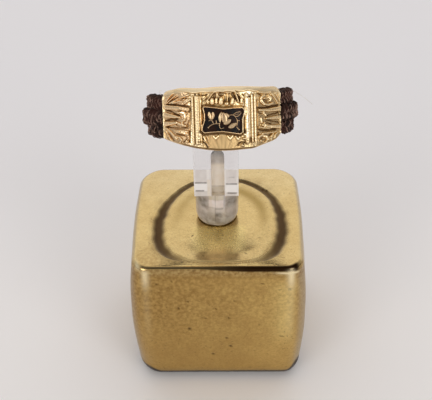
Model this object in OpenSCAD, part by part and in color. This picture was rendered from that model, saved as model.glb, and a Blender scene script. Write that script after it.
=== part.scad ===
// A gold keepsake ring with a woven hair hoop, held by a clear clip on a brass block.
// Millimetres, +Z up. The origin is the middle of the block's underside, and the ring faces -Y.

/* [Ring] */
// Inside diameter of the finger hole
finger_d = 17.8; // [17:0.1:18.4]
// Angle that the gold front reaches to each side of its middle, in degrees
front_half_angle = 47; // [45:0.5:50]
// Thickness of the gold front under its relief
front_t = 1.45; // [1.2:0.05:1.6]
// Height of the gold front at its middle
front_h = 8.1; // [7.9:0.1:8.8]
// Height of the gold front at its ends
front_end_h = 6.5; // [6.3:0.1:7]
// How far the leaves, rays and reeds stand up from the gold front
relief_h = 0.3; // [0.2:0.05:0.4]
// Height of the smooth lip along the upper edge of the gold front
lip_w = 0.62; // [0.4:0.02:0.7]

/* [Enamel] */
// Width of the black enamel panel
enamel_w = 4.8; // [4.4:0.1:5]
// Height of the black enamel panel
enamel_h = 3.05; // [2.8:0.05:3.2]
// How far each side of the panel is hollowed
enamel_dip = 0.32; // [0.2:0.02:0.4]
// Width of the raised rim round the panel
rim_w = 0.26; // [0.2:0.02:0.3]

/* [Hair hoop] */
// Width of the woven hair band
hair_w = 6.1; // [5.6:0.1:6.2]
// Thickness of the band over its middle plait
hair_t = 1.85; // [1.6:0.05:2]

/* [Display stand] */
// Width of the brass block at its widest, halfway up
block_w = 26; // [25.6:0.1:27]
// Depth of the brass block at its deepest, halfway up
block_d = 25.8; // [25.6:0.1:27]
// Height of the brass block
block_h = 23; // [20:0.5:25]
// Outside diameter of the round groove in the block's top
groove_d = 20.2; // [19.6:0.1:20.6]
// Diameter of the clip's round foot
foot_d = 6.4; // [6:0.1:7]
// Width of the clip's square post
post_w = 6.4; // [6.2:0.1:6.4]
// Height of the ring's middle above the block
ring_rise = 18.2; // [17.5:0.1:19]
// Angle that the ring leans back, in degrees
ring_lean = 28.5; // [26:0.5:30]

/* [Hidden] */
$fn = 64;

finger_r = finger_d / 2;
front_r = finger_r + front_t;
half_w = front_r * sin(front_half_angle);
// radius of the arc that bows the upper and the lower edge of the gold front
edge_sag = (front_h - front_end_h) / 2;
edge_r = (half_w * half_w + edge_sag * edge_sag) / (2 * edge_sag);
// clearance between pieces that lie against each other
fit = 0.06;

// the ring's middle stands over the clip's foot, a little to its right, and faces slightly right
ring_x = 0.6;
ring_y = 0.1;
ring_turn = 2.7;

enamel_v = -0.33;
enamel_depth = 0.28;
spray_t = 0.12;

groove_y = -0.8;
groove_w = 1.5;
groove_depth = 0.5;
recess = 0.15;
block_corner_r = 4.8;
block_top_r = 0.8;
block_foot_r = 3.4;
// how far each wall bows out between the block's top and its foot
block_bow = 0.5;
wall_r = (block_h * block_h / 4 + block_bow * block_bow) / (2 * block_bow);

// reeds of the two columns: angle from the middle, radius of the reed, how far it is sunk
left_reeds = [[-21.3, 0.12, 0.02], [-18.7, 0.34, 0.12], [-16.5, 0.15, 0.02], [-15.2, 0.15, 0.02]];
right_reeds = [[16.4, 0.32, 0.12], [20, 0.2, 0.04], [22.9, 0.22, 0.04]];
reed_low = -3.25;
reed_high = 2.55;
plinth_h = 0.42;
plinth_w = 1.7;

// rays of each side panel: direction from the calyx, length, half width at the tip;
// the calyx lies a little nearer the column than the panel's middle
side_rays = [
    [-74, 2.4, 0.3], [-52, 2.8, 0.32], [-31, 3.4, 0.32], [-10, 3.6, 0.34],
    [10, 3.6, 0.34], [31, 3.4, 0.32], [52, 2.8, 0.32], [74, 2.4, 0.3]
];
panel_angle = 34;
panel_w = 4.6;
calyx_s = 1.35;
calyx_r = 0.45;
scroll_r = 0.45;
// the shell above the enamel and the fan below it
shell_rays = 7;
fan_rays = 9;
bead_r = 0.42;
bead_pitch = 1.5;
bead_count = 4;

// clip, in the ring's own frame: the cradle's floor lies below the band, its arms press outwards
cradle_w = 6;
arm_t = 1.3;
arm_r = finger_r - fit;
cradle_low = -4.4;
arm_tip = 2.4;
cradle_corner_r = 2.8;
foot_h = 6.4;
slot_w = 2.1;
slot_depth = 0.9;
slot_low = 5.4;
slot_high = 12.4;

// Puts a shape drawn in the ring's own frame, axis along Z and front towards -Y, in its place.
module in_ring_place() {
    translate([ring_x, ring_y, block_h + ring_rise])
        rotate([0, 0, ring_turn])
            rotate([-ring_lean, 0, 0])
                children();
}

// Part of a tube round the finger, as wide as the gold front.
module front_shell(r_in, r_out, half_angle) {
    rotate([0, 0, -90 - half_angle])
        rotate_extrude(angle = 2 * half_angle)
            translate([r_in, -front_h / 2])
                square([r_out - r_in, front_h]);
}

// Draws a flat shape through the gold front, turned to an angle from its middle.
module through_front(angle) {
    rotate([0, 0, angle])
        rotate([90, 0, 0])
            linear_extrude(height = front_r + 2)
                children();
}

// A flat motif raised on the gold front, drawn at an angle from its middle.
module raised(angle, height) {
    intersection() {
        front_shell(front_r - 0.2, front_r + height, front_half_angle);
        through_front(angle) children();
    }
}

// Outline of the gold front: two bowed edges, the ends cut by its angle.
module front_outline() {
    intersection() {
        translate([0, front_h / 2 - edge_r]) circle(r = edge_r, $fn = 128);
        translate([0, edge_r - front_h / 2]) circle(r = edge_r, $fn = 128);
        square([2 * half_w + 2, front_h], center = true);
    }
}

// The panel's outline, a rectangle with four hollow sides, grown on every side.
module enamel_outline(grow) {
    w = enamel_w / 2;
    h = enamel_h / 2;
    long_r = (w * w + enamel_dip * enamel_dip) / (2 * enamel_dip);
    short_r = (h * h + enamel_dip * enamel_dip) / (2 * enamel_dip);
    translate([0, enamel_v])
        difference() {
            square([enamel_w + 2 * grow, enamel_h + 2 * grow], center = true);
            for (side = [-1, 1]) {
                translate([0, side * (h - enamel_dip + long_r)])
                    circle(r = long_r - grow, $fn = 96);
                translate([side * (w - enamel_dip + short_r), 0])
                    circle(r = short_r - grow, $fn = 96);
            }
        }
}

// A ray that widens from its root to a round tip.
module ray(direction, root, length, tip) {
    rotate([0, 0, direction]) {
        polygon([[root, -tip / 3], [length - tip, -tip], [length - tip, tip], [root, tip / 3]]);
        translate([length - tip, 0]) circle(r = tip, $fn = 20);
    }
}

// Reeds of one column, which run into a flat plinth across each end.
module column(reeds) {
    reed_mid = (reeds[0][0] + reeds[len(reeds) - 1][0]) / 2;
    for (reed = reeds)
        rotate([0, 0, reed[0]])
            translate([0, -front_r + reed[2], reed_low + plinth_h / 2])
                cylinder(r = reed[1], h = reed_high - reed_low - plinth_h, $fn = 24);
    for (v = [reed_low, reed_high - plinth_h])
        raised(reed_mid, relief_h)
            translate([-plinth_w / 2, v]) square([plinth_w, plinth_h]);
}

// Rays that spread from a calyx beside the column, and a scroll above and below them.
module side_panel(side) {
    raised(side * panel_angle, relief_h)
        mirror([side < 0 ? 1 : 0, 0]) {
            intersection() {
                translate([-calyx_s, 0])
                    for (r = side_rays) ray(r[0], 0.35, r[1], r[2]);
                square([panel_w, front_end_h - 1.2], center = true);
            }
            translate([-calyx_s, 0]) circle(r = calyx_r, $fn = 24);
        }
    for (v = [-2.75, 2.45])
        raised(side * (panel_angle - 6), relief_h + 0.05)
            translate([0, v]) circle(r = scroll_r, $fn = 24);
}

// Scalloped beads along one end of the gold front.
module end_beads(side) {
    bead_angle = front_half_angle - asin(bead_r / front_r) - 0.3;
    for (i = [0 : bead_count - 1])
        rotate([0, 0, side * bead_angle])
            translate([0, -front_r + 0.12, (i - (bead_count - 1) / 2) * bead_pitch])
                sphere(r = bead_r, $fn = 20);
}

module gold_front() {
    color("#d2ab6c") in_ring_place() {
        difference() {
            union() {
                intersection() {
                    front_shell(finger_r, front_r, front_half_angle);
                    through_front(0) front_outline();
                }
                // smooth lip along the upper edge and a thin one along the lower edge
                raised(0, relief_h)
                    difference() {
                        front_outline();
                        translate([0, -lip_w]) front_outline();
                    }
                raised(0, relief_h / 2)
                    difference() {
                        front_outline();
                        translate([0, lip_w / 3]) front_outline();
                    }
                // shell above the enamel, fan of flutes below it
                raised(0, relief_h)
                    intersection() {
                        translate([0, enamel_v + enamel_h / 2])
                            for (i = [0 : shell_rays - 1])
                                ray(18 + i * 144 / (shell_rays - 1), 0.6, 2.2, 0.3);
                        translate([-3, 0]) square([6, front_h / 2 - lip_w / 2]);
                    }
                raised(0, relief_h)
                    intersection() {
                        translate([0, enamel_v - enamel_h / 2 + 0.6])
                            for (i = [0 : fan_rays - 1])
                                ray(-22 - i * 136 / (fan_rays - 1), 0.9, 2.75, 0.25);
                        translate([-3, -front_h / 2 + 0.15]) square([6, front_h / 2]);
                    }
                // rim round the enamel
                raised(0, relief_h + 0.08) enamel_outline(rim_w);
                column(left_reeds);
                column(right_reeds);
                for (side = [-1, 1]) {
                    side_panel(side);
                    end_beads(side);
                }
            }
            // well for the enamel
            intersection() {
                front_shell(front_r - enamel_depth, front_r + 2, front_half_angle / 2);
                through_front(0) enamel_outline(0);
            }
        }
    }
}

module enamel_panel() {
    color("#17120f") in_ring_place()
        intersection() {
            front_shell(front_r - enamel_depth + fit, front_r + relief_h / 2, front_half_angle / 2);
            through_front(0) enamel_outline(-fit / 2);
        }
}

// A pointed leaf between two arcs, root at the origin.
module leaf(length, width) {
    r = (length * length + width * width) / (4 * width);
    intersection() {
        translate([length / 2, width / 2 - r]) circle(r = r, $fn = 40);
        translate([length / 2, r - width / 2]) circle(r = r, $fn = 40);
    }
}

// A thin twig through a few points.
module twig(points, width) {
    for (i = [0 : len(points) - 2]) {
        step = points[i + 1] - points[i];
        translate(points[i])
            rotate([0, 0, atan2(step[1], step[0])])
                translate([0, -width / 2]) square([norm(step), width]);
        translate(points[i + 1]) circle(d = width, $fn = 16);
    }
}

// The rose spray, about the middle of the panel.
module spray_outline() {
    twig([[-1.9, -0.9], [-1.4, -0.55], [-0.45, -0.45], [0, 0]], 0.16);
    twig([[-1.2, -0.5], [-1.5, 0.2]], 0.14);
    twig([[-0.4, -0.3], [-0.45, -0.75], [-0.2, -1.05], [0.1, -0.95]], 0.12);
    twig([[0.4, 0.5], [1.2, 0.64], [1.62, 0.24], [1.75, -0.2], [1.68, -0.65], [2, -1.1]], 0.13);
    // bud
    translate([-1.3, 0.05]) rotate([0, 0, 115]) leaf(1.15, 0.6);
    translate([-1.4, 0.05]) rotate([0, 0, 80]) leaf(0.95, 0.45);
    // rose of three lobes
    for (lobe = [[-0.35, 0.35, 0.4], [0.15, 0.1, 0.62], [0.62, -0.02, 0.35]])
        translate([lobe[0], lobe[1]]) circle(r = lobe[2], $fn = 32);
    // leaves
    translate([1.2, 0.64]) rotate([0, 0, 12]) leaf(1.05, 0.5);
    translate([1.72, -0.4]) rotate([0, 0, 208]) leaf(1.2, 0.6);
}

module flower_spray() {
    low = front_r + relief_h / 2 + fit / 2;
    color("#d8b98a") in_ring_place()
        intersection() {
            front_shell(low, low + spray_t, front_half_angle / 2);
            through_front(0)
                intersection() {
                    translate([0, enamel_v]) spray_outline();
                    enamel_outline(-fit);
                }
        }
}

// Section of the band: a flat lining with three plaits on it, the middle one proud.
module hair_section() {
    plait_r = hair_w / 6 + 0.1;
    plait_step = hair_w / 2 - plait_r;
    intersection() {
        union() {
            translate([finger_r, -hair_w / 2 + 0.25]) square([hair_t / 2, hair_w - 0.5]);
            for (i = [-1, 0, 1])
                translate([finger_r + hair_t - plait_r - (i == 0 ? 0 : 0.4), i * plait_step])
                    circle(r = plait_r, $fn = 32);
        }
        translate([finger_r, -hair_w]) square([2 * hair_t, 2 * hair_w]);
    }
}

module hair_band() {
    band_gap = front_half_angle + fit / finger_r * 180 / PI;
    color("#4a3228") in_ring_place()
        rotate([0, 0, -90 + band_gap])
            rotate_extrude(angle = 360 - 2 * band_gap)
                hair_section();
}

// A flat rounded rectangle, its lower left corner moved in by an inset.
module rounded_plate(w, h, r, inset) {
    translate([inset, inset]) {
        translate([r, 0]) square([w - 2 * r, h]);
        translate([0, r]) square([w, h - 2 * r]);
        for (x = [r, w - r], y = [r, h - r])
            translate([x, y]) circle(r = r, $fn = 48);
    }
}

// A springy strip bent into a U, its arms against the front and back of the finger hole.
module cradle() {
    intersection() {
        cylinder(r = arm_r, h = 4 * arm_r, center = true, $fn = 128);
        rotate([90, 0, 90])
            linear_extrude(height = cradle_w, center = true)
                intersection() {
                    translate([-arm_r, cradle_low])
                        difference() {
                            rounded_plate(2 * arm_r, 4 * arm_r, cradle_corner_r, 0);
                            rounded_plate(2 * (arm_r - arm_t), 4 * arm_r,
                                cradle_corner_r - arm_t / 2, arm_t);
                        }
                    translate([-arm_r, cradle_low])
                        square([2 * arm_r, arm_tip - cradle_low]);
                }
    }
}

module stand_clip() {
    foot_z = block_h - recess + fit;
    color("#e6e3df", 0.6) {
        in_ring_place() cradle();
        // square post, cut off inside the floor of the cradle, with a round-topped slot in front
        difference() {
            translate([-post_w / 2, ring_y - post_w / 2, foot_z + foot_h - fit])
                cube([post_w, post_w, ring_rise]);
            in_ring_place()
                translate([-2 * finger_r, -2 * finger_r, cradle_low + arm_t / 2])
                    cube(4 * finger_r);
            translate([0, ring_y - post_w / 2 + slot_depth, block_h])
                rotate([90, 0, 0])
                    linear_extrude(height = 2 * slot_depth) {
                        translate([-slot_w / 2, slot_low])
                            square([slot_w, slot_high - slot_low]);
                        translate([0, slot_high]) circle(d = slot_w, $fn = 32);
                    }
        }
        translate([0, ring_y, foot_z]) cylinder(d = foot_d, h = foot_h);
    }
}

// How far a wall lies from the block's middle at a height, where it bows out to half of w.
function wall_reach(w, z) = w / 2 - wall_r + sqrt(wall_r * wall_r - pow(z - block_h / 2, 2));

// Elevation of the block: walls bowed a little outwards, rounder at the foot than at the top.
module block_elevation(w) {
    foot_z = block_foot_r;
    top_z = block_h - block_top_r;
    foot_x = wall_reach(w, foot_z) - block_foot_r;
    top_x = wall_reach(w, top_z) - block_top_r;
    intersection() {
        union() {
            translate([-w / 2, foot_z]) square([w, top_z - foot_z]);
            translate([-foot_x, 0]) square([2 * foot_x, block_foot_r + 1]);
            translate([-top_x, top_z - 1]) square([2 * top_x, block_top_r + 1]);
            for (side = [-1, 1]) {
                translate([side * foot_x, foot_z]) circle(r = block_foot_r);
                translate([side * top_x, top_z]) circle(r = block_top_r);
            }
        }
        for (side = [-1, 1])
            translate([side * (w / 2 - wall_r), block_h / 2]) circle(r = wall_r, $fn = 256);
    }
}

module stand_block() {
    color("#b08f52")
        difference() {
            intersection() {
                translate([-block_w / 2, -block_d / 2, 0])
                    linear_extrude(height = block_h)
                        rounded_plate(block_w, block_d, block_corner_r, 0);
                translate([0, block_d / 2, 0])
                    rotate([90, 0, 0])
                        linear_extrude(height = block_d) block_elevation(block_w);
                translate([-block_w / 2, 0, 0])
                    rotate([90, 0, 90])
                        linear_extrude(height = block_w) block_elevation(block_d);
            }
            // round groove, and the slightly lower floor inside it
            translate([0, groove_y, block_h]) {
                rotate_extrude()
                    translate([groove_d / 2 - groove_w / 2, groove_w / 2 - groove_depth])
                        circle(d = groove_w, $fn = 32);
                translate([0, 0, -recess])
                    cylinder(d = groove_d - groove_w, h = 2 * recess, $fn = 96);
            }
        }
}

gold_front();
enamel_panel();
flower_spray();
hair_band();
stand_clip();
stand_block();
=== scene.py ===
import math

import bmesh
import bpy
import numpy as np
from mathutils import Matrix, Vector


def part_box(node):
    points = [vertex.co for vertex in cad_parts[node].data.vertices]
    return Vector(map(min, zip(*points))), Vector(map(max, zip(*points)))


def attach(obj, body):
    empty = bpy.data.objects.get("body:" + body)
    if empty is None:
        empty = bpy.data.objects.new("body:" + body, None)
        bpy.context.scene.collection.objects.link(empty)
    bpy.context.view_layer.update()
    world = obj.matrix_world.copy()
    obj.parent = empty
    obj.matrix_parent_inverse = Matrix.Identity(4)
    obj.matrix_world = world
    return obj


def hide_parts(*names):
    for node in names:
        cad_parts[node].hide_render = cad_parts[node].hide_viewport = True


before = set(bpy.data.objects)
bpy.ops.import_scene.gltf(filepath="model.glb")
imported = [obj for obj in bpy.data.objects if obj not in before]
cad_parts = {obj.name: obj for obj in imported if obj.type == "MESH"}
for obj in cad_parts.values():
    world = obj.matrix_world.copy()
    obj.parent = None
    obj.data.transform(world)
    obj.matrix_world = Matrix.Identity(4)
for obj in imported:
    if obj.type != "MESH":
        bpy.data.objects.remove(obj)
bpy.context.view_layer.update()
MM = 0.001
block_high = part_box("stand_block")[1]

# Camera. The photograph looks down on the stand from the front at 38 degrees with a short
# telephoto lens, a little from the left of square and rolled by just over a degree.
PHOTO_WIDTH = 432
PHOTO_HEIGHT = 400
FOCAL_PX = 940
SENSOR_MM = 36
camera_elevation = math.radians(38.0)
camera_roll = math.radians(-1.2)
camera_yaw = math.radians(1.3)
camera_distance = 142.5 * MM
camera_aside = 0.2 * MM
camera_above = -1.6 * MM
aim_point = Vector((0, 0.6 * MM, block_high.z))


def put_in_scene(name, data):
    """A new object that shows some data, linked into the scene."""
    made = bpy.data.objects.new(name, data)
    bpy.context.scene.collection.objects.link(made)
    return made


level_right = Vector((1, 0, 0))
level_up = Vector((0, math.sin(camera_elevation), math.cos(camera_elevation)))
forward = Vector((0, math.cos(camera_elevation), -math.sin(camera_elevation)))
turn = Matrix.Rotation(camera_yaw, 3, "Z")
camera_right = turn @ (math.cos(camera_roll) * level_right + math.sin(camera_roll) * level_up)
camera_up = turn @ (math.cos(camera_roll) * level_up - math.sin(camera_roll) * level_right)
camera_forward = turn @ forward
camera_place = aim_point - camera_aside * camera_right - camera_above * camera_up
camera_place -= camera_distance * camera_forward
camera_data = bpy.data.cameras.new("camera")
camera_data.sensor_width = SENSOR_MM
camera_data.lens = FOCAL_PX * SENSOR_MM / PHOTO_WIDTH
camera_data.clip_start = 1 * MM
camera = put_in_scene("camera", camera_data)
camera_axes = Matrix((camera_right, camera_up, -camera_forward)).transposed()
camera.matrix_world = Matrix.Translation(camera_place) @ camera_axes.to_4x4()
bpy.context.scene.camera = camera
bpy.context.scene.view_settings.view_transform = "Standard"


# Studio. The stand is on a large sheet of pale grey paper, in a white room that is brightest
# behind and at both sides and darkest over the camera.
PAPER_HALF = 1500
# the paper is painted paler at the front than at the back, as painted light
PAPER_FRONT_COLOUR = (0.90, 0.88, 0.875, 1)
PAPER_BACK_COLOUR = (0.84, 0.83, 0.855, 1)
PAPER_FADE = (-30, 90)
PAPER_ROUGHNESS = 0.6
ROOM_COLOUR = (0.74, 0.74, 0.76, 1)
SIDE_LIGHT = (3.4, 3.3, 3.15, 1)
# direction round from the front towards the right, height, bright core, end of its fade, light
ROOM_PATCHES = [
    (180, 42, 20, 62, (0.98, 0.95, 0.93, 1)),
    (0, 15, 10, 60, (0.64, 0.61, 0.58, 1)),
    (-88, 25, 22, 44, (0.50, 0.48, 0.46, 1)),
    (88, 25, 22, 44, (0.38, 0.36, 0.35, 1)),
    (-41, 26, 8, 18, SIDE_LIGHT),
    (41, 26, 8, 18, SIDE_LIGHT),
    (0, 60, 8, 22, (0.36, 0.34, 0.33, 1)),
]


def wire(tree, kind, inputs=None, **settings):
    """A shader node with its settings. Each input is a plain value or another node's output."""
    made = tree.nodes.new(kind)
    for name, value in settings.items():
        setattr(made, name, value)
    for name, value in (inputs or {}).items():
        if isinstance(value, bpy.types.NodeSocket):
            tree.links.new(value, made.inputs[name])
        else:
            made.inputs[name].default_value = value
    return made


def mix_colours(tree, share, first, second):
    """The colour that lies between two others by a share."""
    MIX_SHARE, MIX_FIRST, MIX_SECOND, MIX_RESULT = 0, 6, 7, 2
    made = wire(tree, "ShaderNodeMix", {MIX_SHARE: share, MIX_FIRST: first, MIX_SECOND: second},
                data_type="RGBA")
    return made.outputs[MIX_RESULT]


def step_up(tree, value, low, high, to_low=0.0, to_high=1.0):
    """A value eased from one range to another."""
    made = wire(tree, "ShaderNodeMapRange",
                {"Value": value, "From Min": low, "From Max": high, "To Min": to_low, "To Max": to_high},
                interpolation_type="SMOOTHSTEP")
    return made.outputs["Result"]


def finish_for(name):
    """A new material with its node tree, its shader and a place in millimetres for patterns."""
    made = bpy.data.materials.new(name)
    made.use_nodes = True
    tree = made.node_tree
    place = wire(tree, "ShaderNodeTexCoord").outputs["Object"]
    in_mm = wire(tree, "ShaderNodeVectorMath", {"Vector": place, "Scale": 1 / MM}, operation="SCALE")
    return made, tree, tree.nodes["Principled BSDF"], in_mm.outputs[0]


paper_data = bpy.data.meshes.new("paper")
paper_r = PAPER_HALF * MM
corners = [(-paper_r, -paper_r, 0), (paper_r, -paper_r, 0), (paper_r, paper_r, 0), (-paper_r, paper_r, 0)]
paper_data.from_pydata(corners, [], [(0, 1, 2, 3)])
paper = put_in_scene("paper", paper_data)
pale_paper, tree, shader, place = finish_for("pale paper")
backward = wire(tree, "ShaderNodeSeparateXYZ", {0: place}).outputs["Y"]
fade = step_up(tree, backward, *PAPER_FADE)
colour = mix_colours(tree, fade, PAPER_FRONT_COLOUR, PAPER_BACK_COLOUR)
tree.links.new(colour, shader.inputs["Base Color"])
shader.inputs["Roughness"].default_value = PAPER_ROUGHNESS
paper_data.materials.append(pale_paper)

room = bpy.data.worlds.new("studio")
room.use_nodes = True
tree = room.node_tree
direction = wire(tree, "ShaderNodeTexCoord").outputs["Generated"]
light = wire(tree, "ShaderNodeRGB").outputs[0]
light.default_value = ROOM_COLOUR
for round_from_front, height, core, end, patch_light in ROOM_PATCHES:
    a, e = math.radians(round_from_front), math.radians(height)
    middle = (math.sin(a) * math.cos(e), -math.cos(a) * math.cos(e), math.sin(e))
    nearness = wire(tree, "ShaderNodeVectorMath", {0: direction, 1: middle}, operation="DOT_PRODUCT")
    dim, bright = math.cos(math.radians(end)), math.cos(math.radians(core))
    mask = step_up(tree, nearness.outputs["Value"], dim, bright)
    light = mix_colours(tree, mask, light, patch_light)
tree.links.new(light, tree.nodes["Background"].inputs["Color"])
bpy.context.scene.world = room


# Stand block. A solid brass block, cast and filed by hand: its walls bow out a little, the lower
# edges are well rounded, and a round channel is turned in the top around a shallow dish. It is
# satin from handling and pitted from the casting; painted shade and painted dark reflections lie in
# its channel and on its edges and foot, and painted highlights on its front corners.
BLOCK_AROUND = 400
BLOCK_ASIDE = 0.1
TOP_HALF_WIDTH = 12.35
SIDE_BULGE = 0.34
SIDE_BULGE_REACH = 0.7
TOP_HALF_DEPTH = 12.45
BACK_HALF_DEPTH = 12.0
WALL_BOW = 0.5
FRONT_CORNER_R = 2.5
BACK_CORNER_R = 3.8
FOOT_CORNER_LEFT_R = 3.4
FOOT_CORNER_RIGHT_R = 2.6
TOP_EDGE_FRONT_R = 0.75
TOP_EDGE_SIDE_R = 1.15
FRONT_EDGE_TOWARD = 43
LEAST_CORNER_R = 0.3
FOOT_RISE = 3.0
FOOT_INSET = 2.0
CHANNEL_MIDDLE = (0.35, -1.15)
CHANNEL_R = 9.3
CHANNEL_HALF = 1.15
CHANNEL_DEPTH = 0.3
DISH_DEPTH = 0.30
DISH_R = 6.3
DISH_LEAST = 0.2
CHANNEL_LEAST = 0.3
# rings of points on the dish, the channel, the rim, the top edge, the wall and the foot
DISH_RINGS = 26
CHANNEL_RINGS = 24
RIM_RINGS = 11
EDGE_RINGS = 16
WALL_RINGS = 90
FOOT_RINGS = 20
# middle line of the channel in the photograph: it flattens where it nears the front wall
CHANNEL_LINE = [
    (157.5, 233), (159.6, 219), (164.8, 207.5), (172.6, 197.5), (183.5, 188.3), (195, 182.6),
    (217, 179.4), (241.8, 181), (252.7, 185), (263.5, 191.2), (273.5, 200.8), (278.9, 213.3),
    (280.6, 228.3), (278.8, 243), (273.2, 252.8), (263, 259), (246, 261), (217, 261.6),
    (190, 260.6), (172.4, 257.4), (161.4, 248),
]
# share of its full width, and strength of the painted shade in it, by direction from the front in degrees
CHANNEL_DIRECTIONS = (0, 26, 36, 46, 60, 100, 130, 155, 180)
CHANNEL_WIDTH = (0.22, 0.30, 0.60, 0.93, 1.0, 0.82, 0.52, 0.44, 0.42)
CHANNEL_SHADE_STRENGTH = (0.24, 0.26, 0.7, 0.9, 0.95, 0.95, 0.88, 0.9, 0.85)
block_h = block_high.z / MM


def rounded_square(half_width, half_depth, corner_r, headings):
    """How far the outline of a rounded rectangle lies along each heading."""
    east, north = np.cos(headings), np.sin(headings)
    near, far = np.zeros(len(headings)), np.full(len(headings), 2.0 * np.max(half_width))
    for _ in range(30):
        middle = (near + far) / 2
        over_x = np.abs(east * middle) - (half_width - corner_r)
        over_y = np.abs(north * middle) - (half_depth - corner_r)
        outside = np.hypot(np.maximum(over_x, 0), np.maximum(over_y, 0)) > corner_r
        outside |= (over_x > corner_r) | (over_y > corner_r)
        near, far = np.where(outside, near, middle), np.where(outside, middle, far)
    return near


def smooth_step(value, low, high):
    """Eases from 0 at low to 1 at high."""
    share = np.clip((np.asarray(value, float) - low) / (high - low), 0, 1)
    return share * share * (3 - 2 * share)


def window(value, opens, full, closes, shut):
    """Eases from 0 to 1 and back to 0 along a value."""
    return smooth_step(value, opens, full) * (1 - smooth_step(value, closes, shut))


def bell(value, middle, half):
    """Is 1 at the middle and fades away to both sides of it."""
    return np.exp(-((value - middle) / half) ** 2)


def soften_round(values, times):
    """Numbers or places round a closed line, each averaged with its neighbours a number of times."""
    for _ in range(times):
        values = (np.roll(values, 1, axis=0) + 2 * values + np.roll(values, -1, axis=0)) / 4
    return values


def sight_line(pixel_x, pixel_y):
    """The direction from the camera through a place in the photograph."""
    right = (pixel_x - PHOTO_WIDTH / 2) / FOCAL_PX
    up = (PHOTO_HEIGHT / 2 - pixel_y) / FOCAL_PX
    return (camera_forward + right * camera_right + up * camera_up).normalized()


def seen_on(axis, reach, pixel_x, pixel_y):
    """The place in millimetres that the photograph shows on a flat face square to an axis."""
    line = sight_line(pixel_x, pixel_y)
    return (camera_place + line * ((reach - getattr(camera_place, axis)) / getattr(line, axis))) / MM


def block_top_height(r):
    """Height of the top over its flat rim, across a channel of full width and the dish inside it."""
    in_channel = np.clip(1 - ((r - CHANNEL_R) / CHANNEL_HALF) ** 2, 0, 1)
    dish = -DISH_DEPTH * (1 - (1 - DISH_LEAST) * smooth_step(r, DISH_R, CHANNEL_R - CHANNEL_HALF))
    rim = smooth_step(r, CHANNEL_R, CHANNEL_R + CHANNEL_HALF)
    return dish * (1 - rim) - CHANNEL_DEPTH * in_channel ** 1.2


headings = 2 * np.pi * (np.arange(BLOCK_AROUND) + 0.5) / BLOCK_AROUND
east, north = np.cos(headings), np.sin(headings)
toward = np.degrees(np.arctan2(east, -north))
spots = np.array([seen_on("z", block_high.z, *pixels).xy for pixels in CHANNEL_LINE]) - CHANNEL_MIDDLE
line_headings = np.arctan2(spots[:, 1], spots[:, 0])
channel_reach = np.interp(headings, line_headings, np.hypot(*spots.T), period=2 * np.pi)
channel_reach = soften_round(channel_reach, 60)
channel_share = np.interp(np.abs(toward), CHANNEL_DIRECTIONS, CHANNEL_WIDTH)
inner_reach = channel_reach - CHANNEL_HALF * channel_share
# the top inside the channel, the channel, and a step past it; each ring is kept with the radius
# that it has where the channel has its full width
rings, nominal = [], []
inner_r = CHANNEL_R - CHANNEL_HALF
for r in np.linspace(0.25, inner_r - 0.12, DISH_RINGS):
    nominal.append(r)
    rings.append((inner_reach * r / inner_r, block_h + block_top_height(r) + 0 * north))
for r in np.linspace(inner_r, CHANNEL_R + CHANNEL_HALF + 0.1, CHANNEL_RINGS):
    nominal.append(r)
    depth_share = CHANNEL_LEAST + (1 - CHANNEL_LEAST) * channel_share
    rings.append((channel_reach + (r - CHANNEL_R) * channel_share,
                  block_h + block_top_height(r) * depth_share))
rings = [(CHANNEL_MIDDLE[0] + reach * east, CHANNEL_MIDDLE[1] + reach * north, height)
         for reach, height in rings]
# the flat rim runs from there to the block's own outline
half_depths = np.where(north < 0, TOP_HALF_DEPTH, BACK_HALF_DEPTH)
top_corner_r = np.where(north < 0, FRONT_CORNER_R, BACK_CORNER_R)
foot_corner_r = np.where(east < 0, FOOT_CORNER_LEFT_R, FOOT_CORNER_RIGHT_R)
# the sides bulge a little at the middle of their length
half_widths = TOP_HALF_WIDTH + SIDE_BULGE * np.clip(1 - (north / SIDE_BULGE_REACH) ** 2, 0, 1)
edge_r = np.where(np.abs(toward) < FRONT_EDGE_TOWARD, TOP_EDGE_FRONT_R, TOP_EDGE_SIDE_R)
edge_r = soften_round(edge_r, 30)
outline = rounded_square(half_widths - edge_r, half_depths - edge_r, top_corner_r - edge_r, headings)
turned = rings[-1]
for share in np.linspace(0, 1, RIM_RINGS + 2)[1:-1]:
    nominal.append(CHANNEL_R + CHANNEL_HALF + share)
    rings.append((turned[0] * (1 - share) + outline * east * share,
                  turned[1] * (1 - share) + outline * north * share, np.full(BLOCK_AROUND, block_h)))
# rounded top edge, wall, foot that rounds in along an oval, underside; each ring has its bend, which
# is in degrees round the top edge and goes on by the millimetre down the wall
BEND_PER_MM = 60
BEND_OF_FOOT = 2000
levels, bends = [], [0.0] * len(rings)
for bend in np.linspace(0, 90, EDGE_RINGS):
    lean_in = math.radians(bend)
    levels.append((block_h - edge_r * (1 - math.cos(lean_in)), edge_r * (1 - math.sin(lean_in))))
    bends.append(bend)
for share in np.linspace(0, 1, WALL_RINGS + 2)[1:-1]:
    levels.append(((block_h - edge_r) * (1 - share) + FOOT_RISE * share, 0))
    bends.append(90 + (block_h - FOOT_RISE) * share * BEND_PER_MM)
for bend in np.linspace(0, 90, FOOT_RINGS):
    lean_in = math.radians(bend)
    levels.append((FOOT_RISE * (1 - math.sin(lean_in)) + 0 * edge_r, FOOT_INSET * (1 - math.cos(lean_in))))
    bends.append(BEND_OF_FOOT)
for z, inset in levels:
    up = np.clip((z - FOOT_RISE) / (block_h - FOOT_RISE - edge_r), 0, 1)
    bow = WALL_BOW * 4 * up * (1 - up)
    corner_r = foot_corner_r + (top_corner_r - foot_corner_r) * up
    reach = rounded_square(half_widths + bow - inset, half_depths + bow - inset,
                           np.maximum(corner_r - inset, LEAST_CORNER_R), headings)
    rings.append((reach * east, reach * north, z))
foot_ring = rings[-1]
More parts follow.
